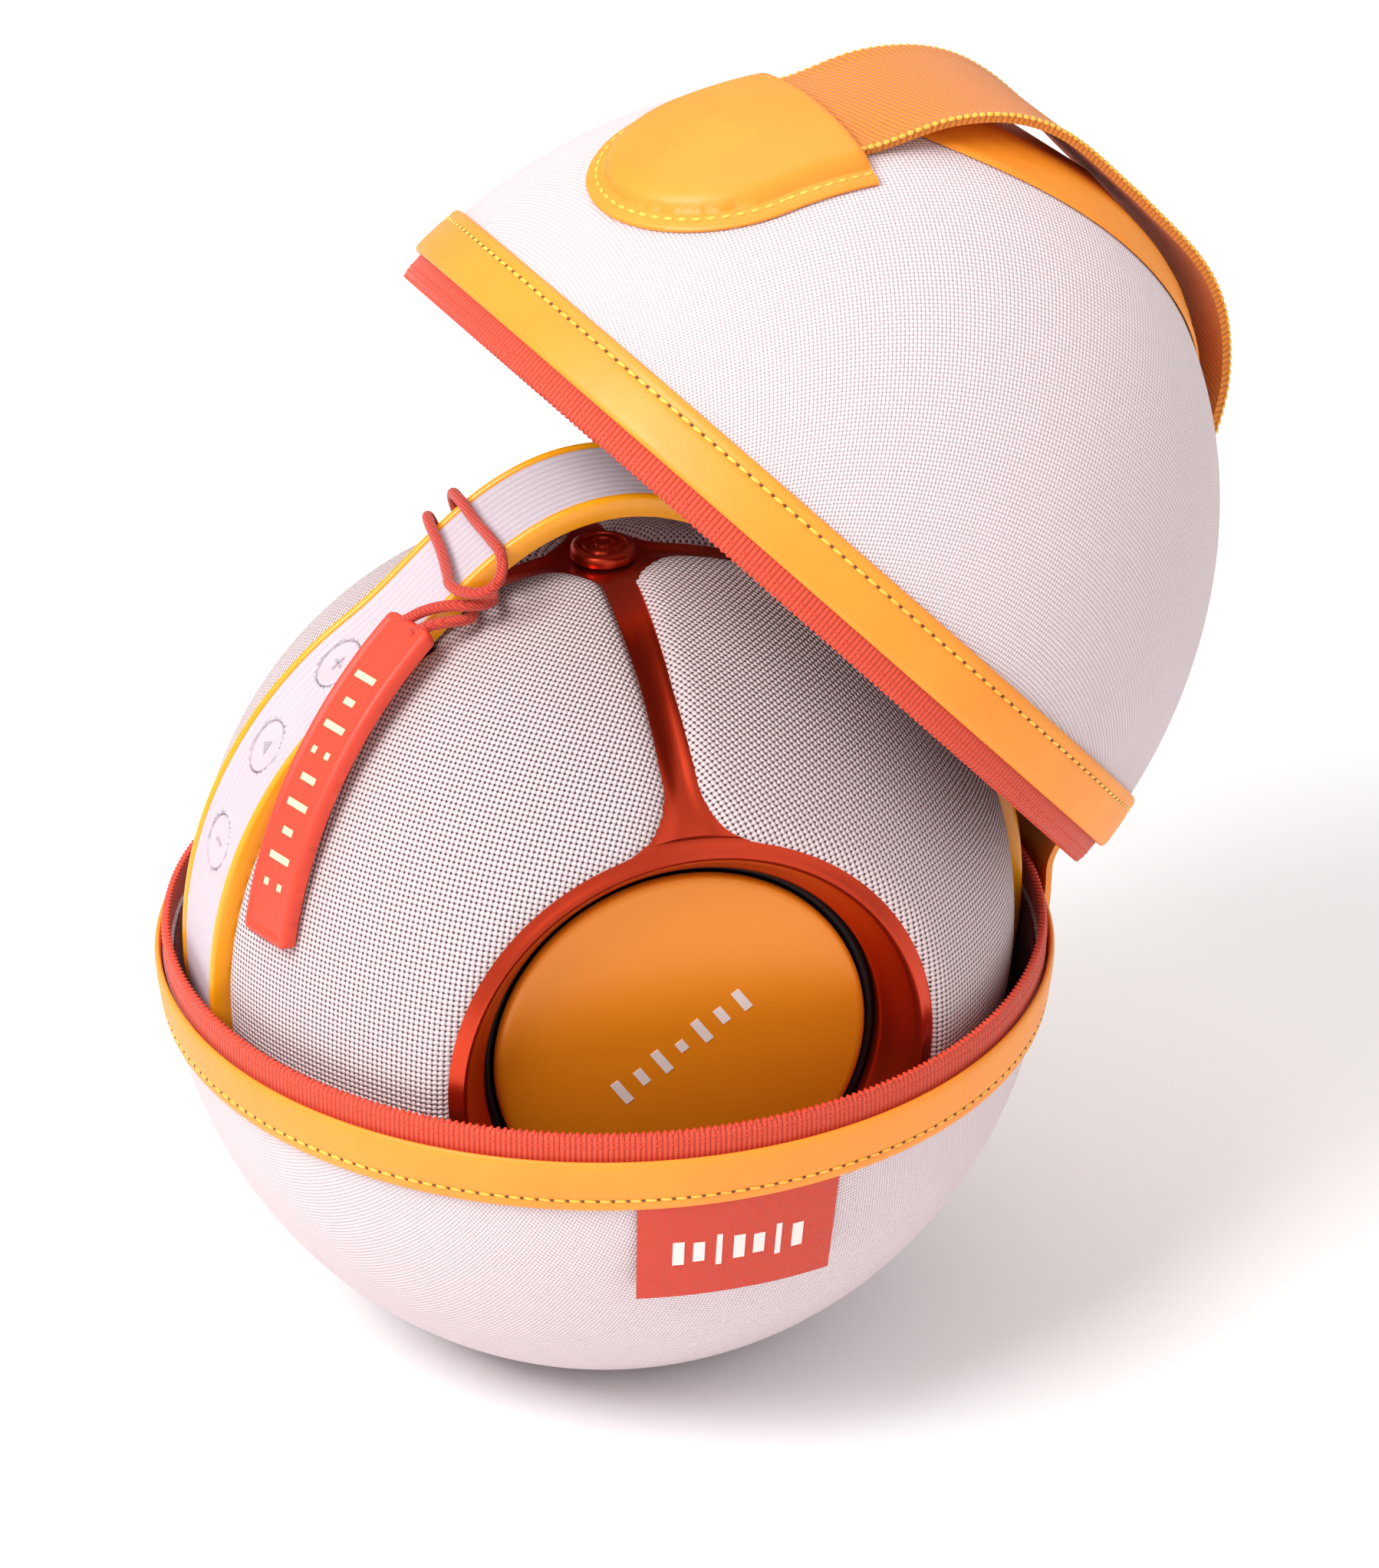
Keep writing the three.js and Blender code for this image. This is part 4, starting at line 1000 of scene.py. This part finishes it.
strap_shape = bent(bar(120, 24), strap_place, lambda a, b, c: (a * 0.172, b * 0.038))
piece("strap_web", strap_shape, LID, "lid", webbing, "webbing", "carry_strap")
whip = bmesh.new()
WHIP_STITCHES = 86
for i in range(WHIP_STITCHES):
    along = 0.08 + 0.84 * i / (WHIP_STITCHES - 1)
    for across in (0.0, 1.0):
        at, ahead = strap_place(along, across, 1), strap_place(along + 0.004, across, 1)
        thread_at(whip, at - Vector((0, 0, 0.2 * MM)), ahead - at, Vector((0, across * 2 - 1, 1)),
                  1.5 * MM, 1.0 * MM)
piece("strap_selvedge", whip, LID, "lid", thread, "webbing")

TAB_LENGTH, TAB_HALF = 50.0, 28.5
TAB_FLAT, SEAM_HALF = TAB_LENGTH - TAB_HALF, 26.0
LID_ARC = 101     # millimetres along the lid for one radian, near a tab


def tab_plan(along, across):
    """Where a pad's point lies in plan, and how far it is from the round and the straight edge."""
    if along < 0.4:
        u = TAB_FLAT * along / 0.4
    else:
        u = TAB_FLAT + TAB_HALF * math.sin((along - 0.4) / 0.6 * math.pi / 2)
    half = math.sqrt(max(TAB_HALF ** 2 - max(u - TAB_FLAT, 0) ** 2, 0.01))
    w = (across * 2 - 1) * half
    rim = TAB_HALF - (math.hypot(u - TAB_FLAT, w) if u > TAB_FLAT else abs(w))
    return u, w, rim


def swell(distance, reach):
    rise = min(max(distance / reach, 0), 1)
    return math.sqrt(1 - (1 - rise) ** 2)


def tab_place(side):
    def place(along, across, through):
        u, w, rim = tab_plan(along, across)
        angle = TAB_START + math.degrees(u / LID_ARC)
        if through > 0.5:
            out = 0.9 + 0.5 * swell(rim, 0.8) + 2.9 * swell(rim - 4.6, 5) * swell(u + 0.3, 2.2)
        else:
            out = 2.7 if abs(w) < 19.6 and angle < 51 else 0.35
        return on_lid(side * angle, side * w, out)
    return place


for name, side in (("front", -1), ("rear", 1)):
    tab_shape = bent(bar(64, 56), tab_place(side))
    piece("tab_" + name, tab_shape, LID, "lid", leather, "leather", "strap_tab_" + name)
    seam = bmesh.new()
    points = [(1.5 + 3.0 * i, w * SEAM_HALF) for w in (-1, 1) for i in range(7)]
    turns = [math.pi * i / 27 for i in range(28)]
    points += [(TAB_FLAT + SEAM_HALF * math.sin(t), SEAM_HALF * math.cos(t)) for t in turns]
    for u, w in points:
        angle = TAB_START + math.degrees(u / LID_ARC)
        at = on_lid(side * angle, side * w, 1.45)
        spread = math.atan2(w, max(u - TAB_FLAT, 0) or 1e-6)
        ahead = on_lid(side * (angle - math.degrees(math.sin(spread) * 0.01)),
                       side * (w + math.cos(spread)), 1.45)
        thread_at(seam, at, ahead - at, on_lid(side * angle, side * w, 3) - at, 2.1 * MM, 0.8 * MM)
    piece("tab_stitches_" + name, seam, LID, "lid", thread, "leather")

saddle_profile = [(0.0, 2.35), (0.62, 2.35), (0.74, 2.3), (0.765, 1.85), (0.84, 1.8), (0.865, 1.35),
                  (0.94, 1.25), (0.985, 0.95), (1.0, 0.4), (0.99, 0.3), (0.5, 0.3), (0.0, 0.3)]
saddle = turned(saddle_profile, 96)
for vert in saddle.verts:
    vert.co = on_lid(math.degrees(vert.co.x * 60 / 97), vert.co.y * 32.5, vert.co.z)
piece("saddle", saddle, LID, "lid", leather, "leather", "strap_saddle")

# %% [markdown]
# ## Label and leather hinge
# The woven label hangs from under the lower binding and bows out a little. The hinge is one strip of
# leather from the lower half to the lid.

# %% Label
LABEL_AZIMUTH = math.radians(-100)


def on_base(turn, distance, out):
    reach = dome_radius(distance * MM, BASE_HEIGHT) + out * MM
    return Vector((reach * math.cos(turn), reach * math.sin(turn), distance * MM))


def label_place(along, across, through):
    turn = LABEL_AZIMUTH - (along - 0.5) * 0.044 / case_r
    return on_base(turn, 18.0 + 24 * across, 0.55 + 3.0 * across ** 2 + through * 0.5)


label_shape = bent(bar(44, 24), label_place, lambda a, b, c: (a * 0.044, b * 0.024))
label = piece("label", label_shape, BASE, "case_base", label_ribbon, "label", "woven_label")
label_marks = bmesh.new()
for i, (length, height) in enumerate(((2.4, 6), (1.2, 8), (2.4, 5), (2.4, 6), (1.2, 8), (2.4, 5), (2.4, 6))):
    along = 0.2 + 0.1 * i
    at = label_place(along, 0.52, 1)
    ahead, lower = label_place(along + 0.02, 0.52, 1) - at, label_place(along, 0.56, 1) - at
    out = ahead.cross(lower).normalized()
    turn = Matrix((ahead.normalized(), lower.normalized(), out)).transposed().to_4x4()
    size = Matrix.Diagonal((length * MM, height * MM, 0.3 * MM, 1))
    bmesh.ops.create_cube(label_marks, size=1, matrix=Matrix.Translation(at) @ turn @ size)
label_print = piece("label_marks", label_marks, BASE, "case_base", pale_print, "label")

# %% [markdown]
# The hinge's ends lie on the two halves, over their bindings, and the stretch between them is a
# smooth curve that leaves each half in that half's own direction.

# %% Leather hinge
LEAF_HALF, LEAF_END = 29.0, 27.0


def leaf_point(half, distance, aside, out):
    height = BASE_HEIGHT if half == "base" else LID_HEIGHT
    reach = dome_radius(distance * MM, height) + out * MM
    turn = aside * MM / reach
    place = BASE if half == "base" else LID
    return place @ Vector((reach * math.cos(turn), reach * math.sin(turn), distance * MM))


def leaf_place(along, across, through):
    aside = (across * 2 - 1) * LEAF_HALF
    out = 1.85 + 1.35 * through
    if along < 0.38:
        return leaf_point("base", LEAF_END - (LEAF_END - 1.5) * along / 0.38, aside, out)
    if along > 0.62:
        return leaf_point("lid", 1.5 + (LEAF_END - 1.5) * (along - 0.62) / 0.38, aside, out)
    t = (along - 0.38) / 0.24
    start, stop = leaf_point("base", 1.5, aside, out), leaf_point("lid", 1.5, aside, out)
    rise = start - leaf_point("base", 2.5, aside, out)
    fall = leaf_point("lid", 2.5, aside, out) - stop
    reach = (stop - start).length
    rise, fall = rise.normalized() * reach, fall.normalized() * reach
    return (start * (2 * t ** 3 - 3 * t ** 2 + 1) + rise * (t ** 3 - 2 * t ** 2 + t)
            + stop * (3 * t ** 2 - 2 * t ** 3) + fall * (t ** 3 - t ** 2))


NOWHERE = Matrix.Identity(4)
leaf = piece("leather_hinge", bent(bar(84, 30), leaf_place), NOWHERE, None, leather, "leather",
             "hinge_leaf_base", "hinge_leaf_lid")
bend_end = (leaf_point("lid", 1.5, 0, 2.5) + leaf_point("lid", 3.0, 0, 2.5)) / 2
leaf_point("base", 2.0, 0, 2.5)
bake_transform(leaf)
for half, body in (("base", "case_base"), ("lid", "lid")):
    seam = bmesh.new()
    spots = [(LEAF_END - 2.6, -26 + 2.9 * i, 0, 1) for i in range(19)]
    spots += [(22.0 - 2.9 * i, side * 26.4, 1, 0) for i in range(7) for side in (-1, 1)]
    for distance, aside, down, sideways in spots:
        at = leaf_point(half, distance, aside, 3.22)
        ahead = leaf_point(half, distance + down, aside + sideways, 3.22) - at
        thread_at(seam, at, ahead, leaf_point(half, distance, aside, 5) - at, 2.1 * MM, 0.8 * MM)
    piece("leaf_stitches_" + half, seam, NOWHERE, body, thread, "leather")

# %% [markdown]
# ## Zip slider and its puller
# The slider is a rounded metal block with a bridge on it, and the puller is a leather strip with a
# metal eye, hanging from the bridge.

# %% Slider and puller
ZIP = Matrix.Translation((0, 0, rim_z)) @ Matrix.Rotation(math.radians(28), 4, "Z")


def soft_block(low, high, edge, segments=3):
    """A box between two corners in millimetres, its edges rounded."""
    low, high = Vector(low) * MM, Vector(high) * MM
    shape = bmesh.new()
    bmesh.ops.create_cube(shape, size=1, matrix=Matrix.Translation((low + high) / 2)
                          @ Matrix.Diagonal((*(high - low), 1)))
    bmesh.ops.bevel(shape, geom=shape.edges[:], offset=edge * MM, segments=segments, affect="EDGES",
                    profile=0.5)
    return shape


zip_in = case_r / MM + 0.3
slider_block = soft_block((zip_in, -4.4, -4.5), (zip_in + 2.3, 4.4, 4.5), 1.0)
for vert in slider_block.verts:
    vert.co.y *= 1 - 0.16 * (vert.co.z / (4.5 * MM)) ** 2
piece("slider_body", slider_block, ZIP, "zip_slider", slider_metal, "zip_metal", "zip_slider")


def bridge_place(along, across, through):
    turn = math.pi * along
    reach = 2.6 + 0.9 * through
    return Vector((zip_in + 1.9 + 1.7 * math.sin(turn) * reach / 3.5, (across - 0.5) * 2.6,
                   -reach * math.cos(turn))) * MM


piece("slider_bridge", bent(bar(24, 3), bridge_place), ZIP, "zip_slider", slider_metal, "zip_metal")


def puller_place(along, across, through):
    down = along * 30
    to_end = min(30 - down, 4)
    half = math.sqrt(max(16 - (4 - to_end) ** 2, 0.02)) * (0.8 + 0.2 * min(down / 10, 1))
    edge = 0.35 if abs(across - 0.5) > 0.42 else 0
    return Vector((zip_in + 4.25 + (2.05 - edge if through > 0.5 else edge), (across * 2 - 1) * half,
                   -3.0 - down)) * MM


piece("puller_strip", bent(bar(40, 12), puller_place), ZIP, "zip_puller", leather, "puller", "zip_puller")
eye = soft_block((zip_in + 3.9, -2.6, -4.2), (zip_in + 5.0, 2.6, 1.0), 0.45)
piece("puller_eye", eye, ZIP, "zip_puller", slider_metal, "puller")
puller_seam = bmesh.new()
for i in range(9):
    for side in (-1, 1):
        at = Vector((zip_in + 6.25, side * 2.6, -7 - 2.6 * i)) * MM
        thread_at(puller_seam, at, Vector((0, 0, 1)), Vector((1, 0, 0)), 1.9 * MM, 0.6 * MM)
piece("puller_stitches", puller_seam, ZIP, "zip_puller", thread, "puller")

# %% [markdown]
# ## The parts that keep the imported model's shape
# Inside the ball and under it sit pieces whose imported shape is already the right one. They only get
# their finish.

# %% Finishes for the carried-over parts
kept_finishes = {
    "housing_front": dark_plastic, "housing_rear": dark_plastic, "base_plate": dark_plastic,
    "handle_bow": handle_core, "inner_bracket": zinc, "battery_pack": cell_sleeve,
    "amplifier_board": board_lacquer, "foot_ring": black_rubber, "contact_ring": gold,
    "charging_socket": gold,
}
kept_finishes |= {"woofer_motor_" + side: zinc for side in ("front", "rear")}
kept_finishes |= {f"base_screw_{i}": zinc for i in (1, 2, 3)}
kept_finishes |= {f"side_driver_{i}": dark_plastic for i in (1, 2, 3, 4)}
for node, finish in kept_finishes.items():
    kept = bpy.data.objects[node]
    kept.data.materials.clear()
    kept.data.materials.append(finish.material)
    kept.data.shade_smooth()
    kept.data.set_sharp_from_angle(angle=math.radians(30))

tuple(route[0])

# %% [markdown]
# ## A light floor and a soft studio
# One wide soft light from the upper left gives the forms, a weaker one fills from the right, and a
# pale sky keeps the shadows open. The floor is a plain matt white.

# %% Floor and lights
view = bpy.context.scene.view_settings
view.view_transform = "Standard"
floor_shape = bmesh.new()
bmesh.ops.create_grid(floor_shape, x_segments=1, y_segments=1, size=6)
floor_mesh = bpy.data.meshes.new("floor")
floor_shape.to_mesh(floor_mesh)
floor_shape.free()
floor = bpy.data.objects.new("floor", floor_mesh)
floor.location.z = -0.0002
bpy.context.scene.collection.objects.link(floor)
floor_matt = Finish("floor_matt")
floor_matt.surface(Base_Color=(0.96, 0.96, 0.96, 1), Roughness=0.9)
floor.data.materials.append(floor_matt.material)

sky = bpy.data.worlds.new("studio")
sky.use_nodes = True
sky.node_tree.nodes["Background"].inputs["Color"].default_value = (1.0, 0.99, 0.985, 1)
sky.node_tree.nodes["Background"].inputs["Strength"].default_value = 0.62
bpy.context.scene.world = sky


def softbox(name, azimuth, elevation, distance, size, power):
    """A square light that looks at the object from a direction given in degrees."""
    a, e = math.radians(azimuth), math.radians(elevation)
    away = Vector((math.sin(a) * math.cos(e), -math.cos(a) * math.cos(e), math.sin(e)))
    lamp = bpy.data.objects.new(name, bpy.data.lights.new(name, "AREA"))
    lamp.data.size = size
    lamp.data.energy = power
    lamp.location = Vector((0, 0, centre_z)) + away * distance
    lamp.rotation_mode = "QUATERNION"
    lamp.rotation_quaternion = (-away).to_track_quat("-Z", "Y")
    bpy.context.scene.collection.objects.link(lamp)


softbox("key_light", -75, 48, 1.4, 0.7, 19)
softbox("fill_light", 25, 25, 1.8, 1.4, 3)
softbox("top_light", 150, 70, 1.6, 1.2, 7)
